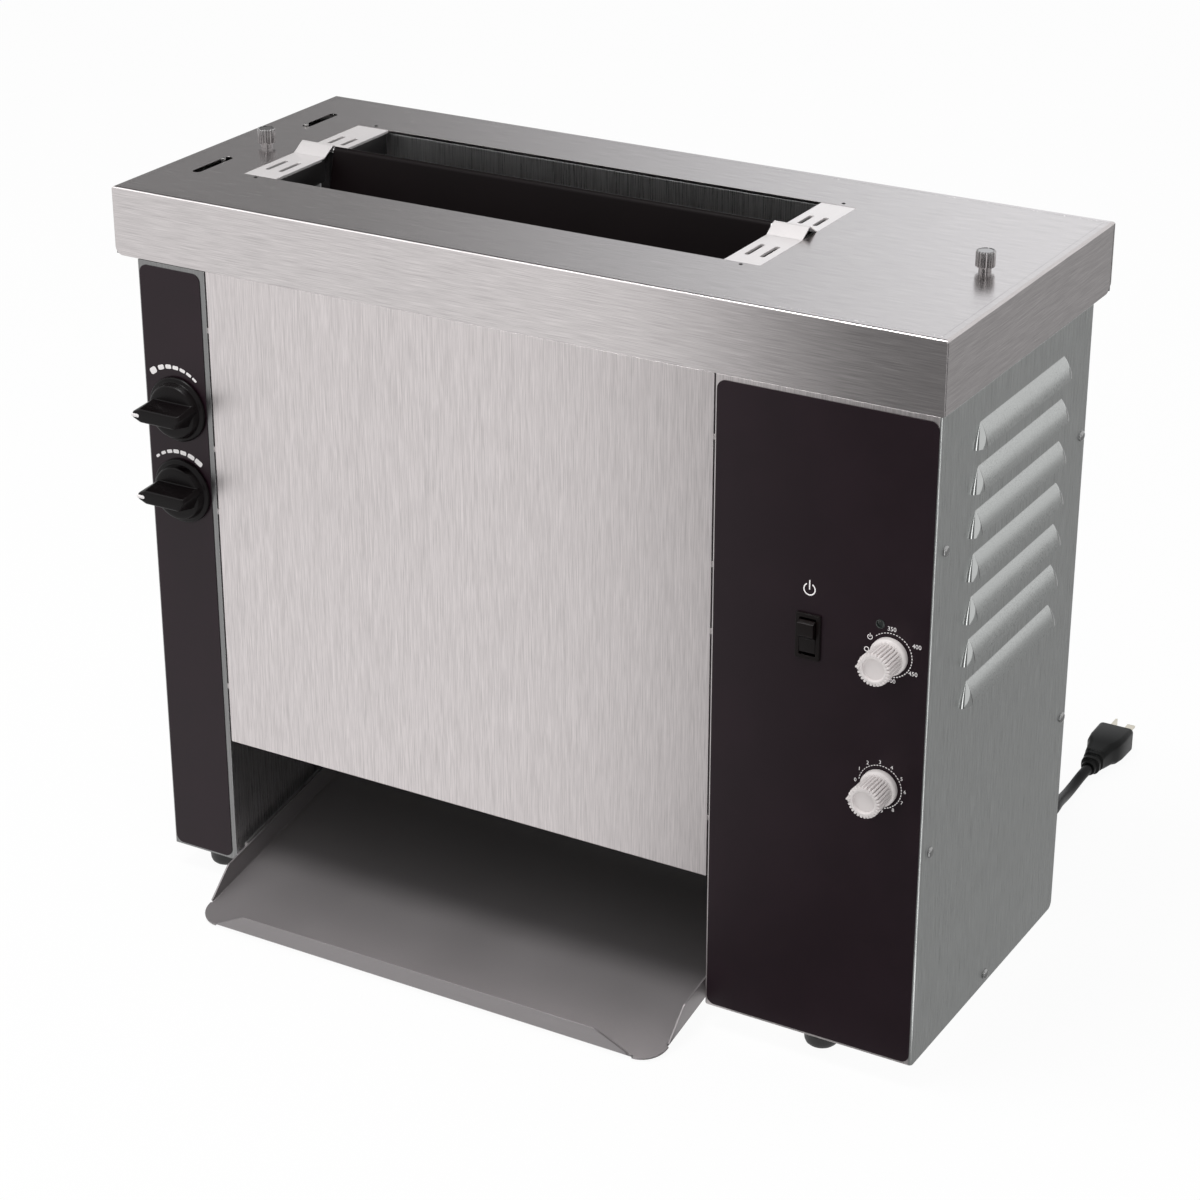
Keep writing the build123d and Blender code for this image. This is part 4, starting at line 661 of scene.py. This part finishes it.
def lid_shell():
    shape = Shape()
    pins, slot_half = span("crown_adjuster_bar")[0].x + 3.0, 3.4
    slots = [stadium((pins - slot_half, front + a), (pins + slot_half, front + b))
             for a, b in ((54.7, 96.8), (186.0, 225.5))]
    opening = rounded((knob_wall - 14.0, front + 69.0), (147.75, front + 208.5), 0.8, 3)
    bores = [circle((x, thumb_y), 3.2) for x in thumb_x.values()]
    inset = 5.9
    shape.plate(rounded((left + inset, front + inset), (right - inset, rear - inset), 0.0),
                top - sheet, top, flat, [opening, *slots, *bores])
    gap = sheet + 0.9
    flap(shape, True, left, right, front, 1, (skirt_corner, 0.8))
    flap(shape, True, left, right, rear, -1, (skirt_corner, skirt_corner))
    flap(shape, False, front + gap, rear - gap, right, -1, (0.4, skirt_corner))
    flap(shape, False, front + gap, rear - gap, left, 1, (skirt_corner, skirt_corner))
    shape.set_down("lid_shell", "lid", lid_steel, "lid", slot="brushed_panel")
    # Painted shade: dark blocks fill the corner gaps between the flaps and stand in for the shade
    # inside them.
    gap_shade = Shape()
    for x, way in ((left, 1), (right, -1)):
        for y, inward in ((front, 1), (rear, -1)):
            spots = sorted((x + way * 0.12, x + way * 1.0)), sorted(
                (y + inward * sheet, y + inward * (gap + 0.05)))
            gap_shade.block((spots[0][0], spots[1][0], skirt_bottom + 0.8),
                        (spots[0][1], spots[1][1], top - fold), 0)
    gap_shade.set_down("lid_corner_gap_shade", "lid", flange_steel, slot="brushed_panel")


lid_shell()

# ---- throat's end plates

plate_top = top - sheet


def end_plates():
    shape, flanges = Shape(), Shape()
    thick = 0.8
    level = top - 0.15
    # in X: the plate's outer end, its edge at the throat and the middle of its slots
    for outer, edge, mid in ((knob_wall - 13.8, -225.75, -238.95), (147.55, 121.75, 134.75)):
        low, high = min(outer, edge), max(outer, edge)
        for a, b, slot_span in ((69.2, 124.5, (85.0, 109.5)), (154.5, 208.3, (160.0, 180.0))):
            holes = [stadium((mid + x - 1.75, front + slot_span[0]),
                             (mid + x + 1.75, front + slot_span[1])) for x in (-5.45, 5.45)]
            shape.plate(rounded((low, front + a), (high, front + b), 0.0),
                        plate_top - thick, level, flat, holes)
        # folded roof over the rod's end
        ridge = softened([(124.5, 0.0), (127.8, 0.0), (139.0, 6.8), (150.2, 0.0), (154.5, 0.0)],
                         [0, 2.5, 2.2, 2.5, 0], 6)
        under = [(y, z - thick) for y, z in ridge]
        outline = [(front + y, level + z) for y, z in ridge + under[::-1]]
        shape.skin([[(x, y, z) for y, z in outline] for x in (low, high)])
        rim = (edge - thick, edge) if edge < 0 else (edge, edge + thick)
        for a, b in ((72.0, 127.9), (151.1, 205.5)):
            flanges.block((rim[0], front + a, plate_top - 15.8),
                          (rim[1], front + b, plate_top - 0.8), bevel=0.2)
    shape.set_down("throat_end_plates", "lid", plate_steel, "end_plates", slot="plated_steel")
    flanges.set_down("throat_flanges", "lid", flange_steel, slot="plated_steel")


end_plates()


def rivets():
    shape = Shape()
    for x in (-239.75, 135.75):
        for y in (65.6, 213.5):
            shape.turned([(0, -3.0), (2.6, -3.0), (2.6, -2.0), (1.3, -2.0), (1.3, 0.1), (1.1, 0.25),
                          (0, 0.3)], (x, front + y, top), "z", 24)
    shape.set_down("plate_rivet_heads", "lid", rivet_steel, "plate_rivets", slot="plated_steel")


rivets()


def thumb_screws():
    def flutes(row, angle):
        return -0.9 * max(0.0, cos(20 * angle)) ** 1.5 if 7 <= row <= 10 else 0.0

    for body, x in thumb_x.items():
        shape = Shape()
        shape.turned([(0, -20), (2.6, -20), (3.0, -19), (3.0, -0.2), (4.1, 0), (4.1, 2.9),
                      (4.5, 3.2), (6.0, 3.2), (6.3, 3.6), (6.3, 13.0), (5.9, 13.6), (5.3, 13.7),
                      (4.9, 13.4), (0, 13.4)], (x, thumb_y, top), "z", 160, flutes)
        shape.set_down(f"{body}_head", body, bright_steel, body, slot="plated_steel", crease=24)


thumb_screws()

# ---- right side with its louvres


def louvred_side():
    shape, noses = Shape(), Shape()
    hood_depth, hood_height, nose = 5.5, 16.0, 9.4
    a, b = front + 47.8, front + 200.4
    rows = [top - 69.6 - n * 29.45 for n in range(7)]
    vents = [rounded((a + nose, z - hood_height), (b - nose, z - 3.0), 0.5, 2) for z in rows]
    outline = rounded((front + bend, foot_height), (cab_back, skirt_bottom), (0.0, 5.0, 0.0, 0.0))
    shape.plate(outline, right - sheet, right, sideways, vents)
    # bend round the front corner
    shape.skin([[(right - x, front + y, z) for x, y in bend_section()]
                for z in (foot_height, skirt_bottom)])
    lean = [radians(6 + 28 * n / 12) for n in range(13)]
    profile = [((cos(t) - cos(lean[-1])) / (cos(lean[0]) - cos(lean[-1])) * hood_depth,
                (sin(t) - sin(lean[0])) / (sin(lean[-1]) - sin(lean[0])) * hood_height)
               for t in lean]
    for z in rows:
        base = z - hood_height
        # the sheet's outer face, and its inner one a little inside
        for out, inset, up in ((1.0, 0.0, 1.0), (0.86, 0.2, 0.94)):
            shape.skin([[(right + d * out - inset, y, base + h * up) for d, h in profile]
                        for y in (a + nose, b - nose)], ends=False, closed=False)
        for y, way in ((a + nose, -1), (b - nose, 1)):
            rings = []
            for n in range(13):
                t = radians(90 * n / 12)
                rings.append([(right + d * cos(t) * 0.97,
                               y + way * nose * (d / hood_depth) * sin(t), base + h)
                              for d, h in profile])
            noses.skin(rings, ends=False, closed=False)
    shape.set_down("louvred_side", "cabinet", side_steel, "right_side_panel",
                   slot="brushed_panel", crease=40)
    noses.set_down("louvre_noses", "cabinet", nose_steel, slot="brushed_panel", crease=60)


louvred_side()

# ---- control housing and centre panel

hook_heights = (162.0, 298.0, 345.0, 432.0)


def control_housing():
    shape = Shape()
    holes = [circle(temperature_spot, 4.7), circle(speed_spot, 4.7), circle(lamp_spot, 3.0),
             rounded((left + 528.0, 297.0), (left + 543.4, 326.4), 0.0)]
    shape.plate(rounded((control_wall, foot_height), (right - bend, skirt_bottom - 0.05),
                        (1.5, 0.0, 0.0, 0.0)), front, front + sheet, upright, holes)
    shape.block((control_wall, front + sheet, foot_height + sheet),
                (control_wall + sheet, back_inner, top - sheet), 0)
    shape.block((right - 2 * sheet, front + bend + 0.4, foot_height + sheet),
                (right - sheet, front + 22.0, skirt_bottom - 0.4), 0)
    shape.block((control_wall + sheet, back_inner - sheet, foot_height + sheet),
                (control_wall + 15.2, back_inner, top - 9.2), 0)
    # nut and tab for the thumb screw; the nut comes first, which keeps the order of the faces
    # the same in each run
    shape.turned([(3.1, 0), (6, 0), (6, 5.8), (3.1, 5.8), (3.1, 0)],
                 (thumb_x["right_thumb_screw"], thumb_y, top - 12.2), "z", 6)
    shape.block((control_wall + sheet, thumb_y - 14.0, top - 6.4),
                (left + 600.0, thumb_y + 14.0, top - 5.2), 0.3)
    shape.set_down("control_housing_shell", "cabinet", centre_steel, "control_housing",
                   slot="brushed_panel")


control_housing()


def centre_panel():
    shape = Shape()
    low, high = span("front_panel")[0].z, skirt_bottom - 0.05
    a, b, deep = knob_wall + 1.3, control_wall - 1.2, front + 14.0
    shape.plate(rounded((a, low), (b, high), 0.3, 2), front, front + sheet, upright)
    for x in (a, b - sheet):
        shape.block((x, front + sheet, low + 1.0), (x + sheet, deep, high - 1.0), 0)
    shape.block((a, front + sheet, low), (b, deep, low + sheet), 0)
    # hooks that hang the panel on the housings
    for x0, x1 in ((knob_wall, a + sheet), (b - sheet, control_wall)):
        for z in hook_heights:
            shape.block((x0, front + 0.5, z - 2.0), (x1, front + 2.6, z + 2.0), 0.2)
    shape.set_down("centre_panel", "cabinet", centre_steel, "front_panel", slot="brushed_panel")


centre_panel()

# ---- catch tray

slope = radians(11.0)
tray_left, tray_right = span("catch_tray")[0].x, span("catch_tray")[1].x
tray_mid = (tray_left + tray_right) / 2
tray_foot = Vector((tray_mid, front - 60.0, 1.0))


def on_tray(u, s, h):
    """A point on the tray: across, up the slope and out from its floor."""
    return (tray_foot.x + u, tray_foot.y + s * cos(slope) - h * sin(slope),
            tray_foot.z + s * sin(slope) + h * cos(slope))


def catch_tray():
    shape = Shape()
    half = (tray_right - tray_left) / 2
    length = 210.0 / cos(slope)
    corner, high = 18.0, 17.0
    lip_half = half - corner
    right_corner = arc((half - corner, corner), corner, 0, -90, 10)
    left_corner = arc((corner - half, corner), corner, -90, -180, 10)
    floor = [(half - bend, length), (half - bend, 20.5), (half, 19.0), *right_corner,
             (lip_half, bend), (-lip_half, bend), *left_corner, (-half, 19.0),
             (bend - half, 20.5), (bend - half, length)]
    shape.plate(floor[::-1], 0.0, sheet, on_tray)
    for way in (-1, 1):
        shape.skin([[on_tray(way * (half - d), s, h) for d, h in bend_section()]
                    for s in (20.5, length)])
        rim = softened([(20.5, bend), (length, bend), (length, high), (45.0, high)],
                       [0, 0, 0.5, 7.0], 6)
        levels = (way * half, way * (half - sheet))
        shape.plate(rim, *levels, lambda s, h, level: on_tray(level, s, h))
    shape.skin([[on_tray(u, d, h) for d, h in bend_section()] for u in (-lip_half, lip_half)])
    lip = softened([(-lip_half + 2.0, bend), (lip_half - 2.0, bend), (lip_half - 28.0, high),
                    (28.0 - lip_half, high)], [0, 0, 7.0, 7.0], 6)
    shape.plate(lip, 0.0, sheet, lambda u, h, level: on_tray(u, level, h))
    shape.set_down("catch_tray_formed", "catch_tray", tray_steel, "catch_tray",
                   slot="plated_steel", crease=50)


catch_tray()

# ---- pointer knobs

knob_x = left + 46.4
knob_back = overlay_face - 0.4


def bar_outline(tail, tip, half):
    """Outline of a pointer's bar, seen from the front."""
    return softened([(tail - 5.5, -half), (tail, half * 0.55), (tail - 1.6, half),
                     (tip + 7.0, half), (tip + 0.6, half * 0.42), (tip + 0.6, -half * 0.42),
                     (tip + 7.0, -half)], [1.2, 1.0, 1.0, 3.0, 1.6, 1.6, 3.0], 4)


def pointer_knob(name, z):
    shape = Shape()
    shape.turned([(4.2, 0), (23.2, 0), (23.5, 0.4), (23.5, 1.5), (23.0, 2.3), (22.2, 2.6),
                  (21.0, 2.7), (20.4, 3.1), (19.4, 7.2), (18.9, 8.0), (18.0, 8.4),
                  (16.0, 8.6), (8.0, 8.7), (0, 8.7)], (knob_x, knob_back, z), "-y", 96)
    levels = ((6.0, 20.6, -21.8, 8.0), (12.0, 20.2, -21.8, 7.2), (17.0, 19.8, -21.9, 6.3),
              (22.8, 19.2, -22.0, 5.2), (23.8, 18.8, -21.8, 4.8), (24.4, 18.0, -21.2, 4.2),
              (24.5, 17.2, -20.4, 3.4))
    shape.skin([[(knob_x + u, knob_back - w, z + v) for u, v in bar_outline(tail, tip, half)]
                for w, tail, tip, half in levels])
    shape.set_down(f"{name}_pointer_knob", f"{name}_adjuster", knob_black, f"{name}_knob",
                   slot="black_knob", crease=38)
    mark = Shape()
    mark.skin([[(knob_x + u, knob_back - w, z + v)
                for u, v in stadium((-21.9 + i, -1.25 + i), (-15.4 - i, 1.25 - i))]
               for w, i in ((23.2, 0.0), (24.6, 0.0), (24.75, 0.25))])
    mark.set_down(f"{name}_pointer_mark", f"{name}_adjuster", print_ink, slot="light_knob")


pointer_knob("heel", 370.0)
pointer_knob("crown", 309.0)

# ---- dial knobs


def dial_knob(name, spot):
    x, z = spot
    shape = Shape()
    rows = [(0, 0), (12.2, 0), (12.5, 0.5), (12.5, 3.6), (12.2, 4.4), (11.6, 4.9), (11.0, 5.4),
            (10.85, 6.4), (10.85, 6.8), (10.9, 12.0), (11.05, 18.0), (11.25, 22.8), (11.2, 23.6),
            (10.9, 24.3), (10.3, 24.5), (9.0, 24.5), (8.0, 24.5), (7.6, 24.2), (7.4, 23.0),
            (7.0, 22.7), (0, 22.6)]

    def ribs(row, angle):
        if 8 <= row <= 14:
            return -1.5 * max(0.0, cos(28 * angle)) ** 1.3
        return 0.0

    shape.turned(rows, (x, knob_back, z), "-y", 280, ribs)
    shape.skin([[(x + u, knob_back - w, z + v) for u, v in
                 softened([(-11.9, -0.5), (-9.0, -0.8), (-9.0, 0.8), (-11.9, 0.5)], [0.2] * 4, 2)]
                for w in (8.0, 24.2, 24.9)])
    shape.set_down(f"{name}_dial_knob", f"{name}_dial", knob_grey, f"{name}_knob",
                   slot="light_knob", crease=34)


dial_knob("temperature", temperature_spot)
dial_knob("speed", speed_spot)

# ---- printed scales

ink = 0.08


def printed(shape, outline, *holes):
    shape.plate(outline, overlay_face - ink, overlay_face, upright, holes)


def scale_bars(shape, centre, radius, bars):
    """Short bars round a knob: angle clockwise from the top, length and width."""
    for angle, length, width in bars:
        a = radians(angle)
        spot = (centre[0] + radius * sin(a), centre[1] + radius * cos(a))
        bar = rounded((-length / 2, -width / 2), (length / 2, width / 2), width * 0.3, 3)
        printed(shape, placed(bar, angle, spot))


def power_sign(shape, centre, radius, stroke, bar):
    """An open ring with a bar at its top."""
    ring = arc(centre, radius + stroke / 2, 60, -240, 40)
    ring += arc(centre, radius - stroke / 2, -240, 60, 40)
    printed(shape, ring)
    printed(shape, rounded((centre[0] - stroke / 2, centre[1] + bar[0]),
                           (centre[0] + stroke / 2, centre[1] + bar[1]), stroke * 0.3, 2))


def figures(shape, entries, height):
    """Figures on the overlay: text and where its middle is."""
    for text, x, z in entries:
        data = lettering(text, height)
        for vert in data.vertices:
            vert.co = (x + vert.co.x, overlay_face - ink, z + vert.co.y)
        shape.mesh.from_mesh(data)


def printed_scales():
    shape = Shape()
    scale_bars(shape, (left + 43.35, top - 152.75), 29.85,
               ((-34.7, 5.8, 4.7), (-19.9, 5.2, 3.4), (-7.2, 5.0, 3.0), (4.6, 4.8, 2.7),
                (15.9, 4.6, 2.4), (27.0, 4.4, 2.1), (37.5, 4.0, 1.7)))
    scale_bars(shape, (left + 44.34, top - 216.1), 30.5,
               ((-37.7, 3.4, 1.9), (-26.6, 4.1, 2.2), (-15.6, 4.6, 2.5), (-4.7, 4.9, 2.8),
                (6.9, 5.2, 3.1), (19.8, 5.8, 3.4), (33.0, 6.6, 3.9)))
    for centre, first, last, count in (((left + 592.2, top - 211.1), -40.0, 175.0, 28),
                                       ((left + 589.2, top - 304.2), -80.0, 172.0, 33)):
        bars = []
        for n in range(count):
            share = n / (count - 1)
            bars.append((first + (last - first) * share, 1.2, 0.4 + 0.35 * share))
        scale_bars(shape, centre, 14.9, bars)
    power_sign(shape, (left + 535.5, top - 179.0), 3.9, 0.8, (-0.3, 6.2))
    power_sign(shape, (left + 578.1, top - 201.7), 1.6, 0.45, (0.0, 2.6))
    off_spot = (left + 576.1, top - 210.6)
    printed(shape, circle(off_spot, 1.75, 30), circle(off_spot, 1.25, 30))
    figures(shape, [("350", left + 592.7, top - 193.3), ("400", left + 610.0, top - 201.4),
                    ("450", left + 608.2, top - 220.4), ("500", left + 593.6, top - 228.5)], 2.9)
    angles = (-88.5, -58.4, -31.9, -2.1, 26.1, 57.8, 88.2, 116.3, 145.9, 173.5)
    figures(shape, [(str(n), left + 589.2 + 17.3 * sin(radians(a)),
                     top - 304.2 + 17.3 * cos(radians(a))) for n, a in enumerate(angles)], 2.5)
    shape.set_down("printed_scales", "cabinet", print_ink, slot="light_knob")


printed_scales()

# ---- switch and lamp


def switch():
    x, z = switch_spot
    shape = Shape()
    hole = rounded((x - 5.9, z - 12.95), (x + 5.9, z + 12.95), 0.6, 3)
    rim = overlay_face
    shape.plate(rounded((x - 8.7, z - 15.75), (x + 8.7, z + 15.75), 1.2, 4), rim - 1.1, rim,
                upright, [hole])
    shape.plate(rounded((x - 8.3, z - 15.35), (x + 8.3, z + 15.35), 1.0, 4), rim - 1.6, rim - 1.1,
                upright, [hole])
    shape.plate(rounded((x - 7.6, z - 14.6), (x + 7.6, z + 14.6), 0.4, 2), rim, front + 18.0,
                upright, [hole])
    shape.block((x - 7.0, front + 16.4, z - 14.0), (x + 7.0, front + 20.0, z + 14.0), 0.4)
    shape.set_down("switch_bezel", "cabinet", switch_black, "power_switch_body",
                   slot="switch_black")
    cap = Shape()
    profile = softened([(-2.2, 11.6), (-6.0, 10.4), (-5.6, 1.6), (-2.3, -1.4), (-1.9, -11.2),
                        (0.5, -11.4), (6.0, -3.6), (6.0, 4.2), (1.5, 10.6)],
                       [1.0, 0.8, 0.9, 1.4, 0.8, 0.8, 0.5, 0.5, 0.5], 4)
    cap.skin([[(x + u, front + y, z + h) for y, h in profile] for u in (-5.5, 5.5)])
    cap.set_down("rocker_cap", "rocker", switch_black, "power_rocker", slot="switch_black",
                 crease=40)


switch()


def lamp():
    x, z = lamp_spot
    shape = Shape()
    shape.turned([(3.0, 14.0), (3.0, -0.5), (3.0, -0.9), (2.75, -1.0), (2.55, -0.7), (2.5, 1.0),
                  (1.9, 1.4), (0, 1.6)], (x, front, z), "y", 40)
    shape.set_down("lamp_lens_cap", "cabinet", lamp_lens, "indicator_lamp", slot="lamp_lens")


lamp()

# ---- screws and feet


def cross(levels):
    """A cross that tapers: height and scale of each level."""
    shape = Shape()
    for wide, long in ((0.55, 2.3), (2.3, 0.55)):
        outline = ((-wide, -long), (wide, -long), (wide, long), (-wide, long))
        shape.skin([[(u * k, v * k, w) for u, v in outline] for w, k in levels])
    return shape


def screw_head():
    dome = Shape()
    dome.turned([(0, -0.02), (3.7, -0.02), (3.7, 0.5), (3.45, 1.2), (2.8, 1.8), (1.6, 2.12),
                 (0, 2.2)], (0, 0, 0), "z", 32)
    # The second cross is a dark fill set in the cut recess: painted shade.
    return cut(dome, cross(((0.7, 0.45), (3.0, 1.15)))), cross(((0.6, 0.5), (1.25, 0.68)))


def panel_screws():
    head, recess = screw_head()
    heads, recesses = Shape(), Shape()

    def fasten(matrix):
        heads.take(head, matrix)
        recesses.take(recess, matrix)

    rows = [(y, top - drop) for y in (12.2, 231.9) for drop in (139.0, 349.0)]
    rows.append((119.2, foot_height + 7.3))
    # each screw has stopped at a turn of its own
    for n, (y, z) in enumerate(rows):
        for x, way in ((cab_left, -1), (right, 1)):
            turn = (Matrix.Rotation(radians(90 * way), 4, "Y")
                    @ Matrix.Rotation(0.5 + n * 1.1, 4, "Z"))
            fasten(Matrix.Translation((x, front + y, z)) @ turn)
    for n, x in enumerate((-246.35, 162.25)):
        for z in (foot_height + 60.0, top - 60.0):
            turn = Matrix.Rotation(radians(-90), 4, "X") @ Matrix.Rotation(0.3 + n, 4, "Z")
            fasten(Matrix.Translation((x, cab_back, z)) @ turn)
    head.mesh.free()
    recess.mesh.free()
    heads.set_down("panel_screw_heads", "cabinet", screw_steel, "panel_screws",
                   slot="plated_steel", crease=30)
    recesses.set_down("panel_screw_recess_shade", "cabinet", painted_recess_shade, slot="plated_steel")


panel_screws()


def feet():
    shape = Shape()
    for x in ((cab_left + knob_wall) / 2, (control_wall + right) / 2):
        for y in (front + 24.0, cab_back - 24.0):
            shape.turned([(0, 0), (8.0, 0), (9.6, 0.5), (11.0, 1.8), (11.8, 3.8), (12.0, 6.0),
                          (12.0, 18.6), (11.6, 19.0), (0, 19.0)], (x, y, 0), "z", 48)
    shape.set_down("rubber_feet", "cabinet", foot_rubber, "feet", slot="rubber_feet", crease=40)


feet()

# ---- strain relief and plug


def strain_relief():
    shape = Shape()
    profile = [(4.3, 0.0), (7.4, 0.0), (7.4, 4.0), (9.9, 4.1), (10.2, 5.0), (9.9, 6.6), (8.6, 7.2)]
    for n in range(6):
        along = 8.4 + n * 3.5
        reach = 7.5 - n * 0.32
        profile += [(reach - 1.1, along), (reach - 0.1, along + 0.5), (reach, along + 1.3),
                    (reach - 0.1, along + 2.1), (reach - 1.1, along + 2.6)]
    profile += [(5.4, 30.6), (5.2, 31.0), (4.3, 31.0)]
    shape.turned(profile, (gland.x, back_inner - 3.0, gland.z), "y", 48)
    shape.set_down("tapered_strain_relief", "cabinet", cord_rubber, "strain_relief",
                   slot="cord_rubber", crease=40)


strain_relief()


def moulded_plug():
    x = gland.x + plug_route[-1][0]
    start = front + plug_route[-1][1]
    shape = Shape()
    # distance along the plug, half width, half height, height of its middle and roundness
    stations = (
        (0.0, 5.6, 5.6, 8.8, 0.9), (4.0, 6.2, 6.2, 9.2, 0.8), (4.6, 7.6, 7.0, 9.6, 0.7),
        (7.4, 7.8, 7.2, 9.8, 0.7), (8.0, 6.6, 6.4, 10.0, 0.7), (10.4, 6.8, 6.6, 10.2, 0.6),
        (11.0, 8.2, 7.6, 10.4, 0.6), (14.0, 8.6, 7.8, 10.6, 0.55), (15.0, 8.8, 8.4, 10.9, 0.5),
        (27.0, 11.0, 9.4, 11.1, 0.42), (31.0, 13.2, 9.9, 11.2, 0.36),
        (40.0, 14.4, 10.0, 11.2, 0.3), (58.8, 14.5, 10.0, 11.2, 0.25),
        (59.7, 14.2, 9.7, 11.2, 0.25), (60.0, 13.6, 9.2, 11.2, 0.25))
    loops = []
    for along, wide, tall, middle, round_share in stations:
        r = min(wide, tall) * min(0.98, round_share + 0.1)
        loops.append([(x + u, start + along, middle + v)
                      for u, v in rounded((-wide, -tall), (wide, tall), r, 6)])
    shape.skin(loops)
    return shape.set_down("moulded_plug", "cabinet", plug_black, "plug", slot="cord_rubber",
                          crease=28)


plug = moulded_plug()
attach(cord, "cabinet")
cord.data.materials.append(cord_rubber)
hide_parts("power_cord", "cord_coil")

# ---- finishes of the part's nodes


def both(part):
    return f"crown_{part}", f"heel_{part}"


node_finishes = {
    side_steel: ("left_side_panel", "back_panel"),
    housing_steel_painted_light: ("knob_housing",),
    inner_steel_painted_light: ("chute", "base_pan", "tray_rails"),
    flange_steel: ("platen_brackets",),
    guide_steel_painted_light: ("front_bun_guide", "rear_bun_guide"),
    plain_steel: (*both("frame"), "adjuster_supports", *both("adjuster_bar")),
    turned_steel: (*both("drive_roller"), *both("idler_roller"), "sheet_rod",
                   *both("adjusting_screw"), *both("gear"), "drive_pinion",
                   "cartridge_heaters"),
    overlay_film: ("knob_overlay", "control_overlay"),
    cast_iron: ("platen",),
    release_black: ("release_sheet",),
    belt_silicone: both("belt"),
    bush_bronze: ("shaft_bushes",),
    motor_paint: ("gearmotor",),
    board_green: ("control_board",),
    fan_black: ("fan_housing", "fan_rotor", "dial_controls"),
    blade_metal: ("plug_blades",),
}
for finish, nodes in node_finishes.items():
    for name in nodes:
        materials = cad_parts[name].data.materials
        materials.clear()
        materials.append(finish)

# ---- floor, backdrop and light


white = (1.0, 1.0, 1.0, 1.0)
floor_white = 0.94
world_light = 0.75


def staged(name, shape, finish):
    """A stage piece with its finish, from a mesh in metres."""
    data = bpy.data.meshes.new(name)
    shape.to_mesh(data)
    shape.free()
    data.materials.append(finish)
    piece = linked(name, data)
    return piece


def pale_floor():
    finish = Finish("pale_floor")
    colour = finish.blend(finish.noise(6.0), (0.80, 0.80, 0.80, 1.0), (0.84, 0.84, 0.84, 1.0))
    lit = finish.node("ShaderNodeBsdfDiffuse", {}, {"Color": colour})
    glow = finish.node("ShaderNodeEmission", {}, {"Color": white, "Strength": 1.0})
    finish.close(finish.node("ShaderNodeMixShader", {}, {
        0: finish.seen() * floor_white, 1: lit, 2: glow}))
    shape = bmesh.new()
    bmesh.ops.create_grid(shape, x_segments=2, y_segments=2, size=6.0)
    staged("studio_floor", shape, finish.owner)


pale_floor()


def backdrop():
    finish = Finish("studio", world=True)
    scene.world = finish.owner
    soft, full = (finish.node("ShaderNodeBackground", {}, {"Color": white, "Strength": strength})
                  for strength in (world_light, 1.0))
    finish.close(finish.node("ShaderNodeMixShader", {}, {0: finish.seen(), 1: soft, 2: full}))


backdrop()


def lamp_panel(name, spot, aim, size, power):
    light = bpy.data.lights.new(name, "AREA")
    light.shape = "RECTANGLE"
    light.size, light.size_y = size
    light.energy = power
    holder = linked(name, light)
    holder.location = spot
    holder.rotation_mode = "QUATERNION"
    holder.rotation_quaternion = (Vector(aim) - Vector(spot)).to_track_quat("-Z", "Y")


def reflector(name, corners, dark, light, start=0.0, end=1.0, cool=1.0):
    """A card that only reflections show, dark at one end of X and light at the other, and
    a little bluer at its light end where cool is above 1. Two opposite corners stand for a
    rectangle."""
    if len(corners) == 2:
        low, high = corners
        corners = (low, (high[0], low[1], low[2]), high, (low[0], high[1], high[2]))
    finish = Finish(name)
    across = finish.node("ShaderNodeSeparateXYZ", {}, {0: finish.place()})
    glow = finish.blend(across.between(start, end), (dark,) * 3 + (1.0,),
                        (light, light * (1 + cool) / 2, light * cool, 1.0))
    finish.close(finish.node("ShaderNodeEmission", {}, {"Color": glow, "Strength": 1.0}))
    shape = bmesh.new()
    shape.faces.new([shape.verts.new(corner) for corner in corners])
    card = staged(name, shape, finish.owner)
    card.visible_camera = False
    card.visible_diffuse = False
    card.visible_shadow = False
    card.visible_transmission = False


reflector("front_card", ((-0.08, -0.36, 0.003), (1.3, -0.36, 1.2)), 1.0, 0.22, -0.08, 0.17)
reflector("front_floor_card", ((-0.03, -0.36, 0.002), (1.3, -0.36, 0.002), (1.3, -0.12, 0.002),
                               (0.16, -0.12, 0.002)), 0.6, 0.2, -0.03, 0.2)
reflector("side_floor_card", ((0.3078, -0.6, 0.002), (2.2, 3.2, 0.002)), 0.38, 0.4, 0.3, 1.6)
reflector("rear_card", ((-3.2, 1.7, 0.1), (-0.2, 1.7, 1.8)), 0.3, 1.08, -1.5, -0.22, cool=1.04)
reflector("fold_light_card", ((-1.6, -1.25, 1.5), (-0.45, -0.45, 1.5)), 2.4, 2.4)
reflector("fold_dark_card", ((-3.0, 1.69, 1.8), (0.3, 0.1, 2.3)), 0.03, 0.03)
reflector("side_light_card", ((0.48, -0.355, 0.003), (0.62, -0.355, 1.2)), 2.4, 2.4)
reflector("side_floor_light", ((0.35, -0.12, 0.004), (0.4, -0.12, 0.004), (0.62, -0.355, 0.004),
                               (0.48, -0.355, 0.004)), 2.4, 2.4)
lamp_panel("overhead_key", (-0.25, -0.55, 2.3), (0.0, 0.05, 0.25), (0.8, 0.6), 26.0)

scene.view_settings.view_transform = "Standard"
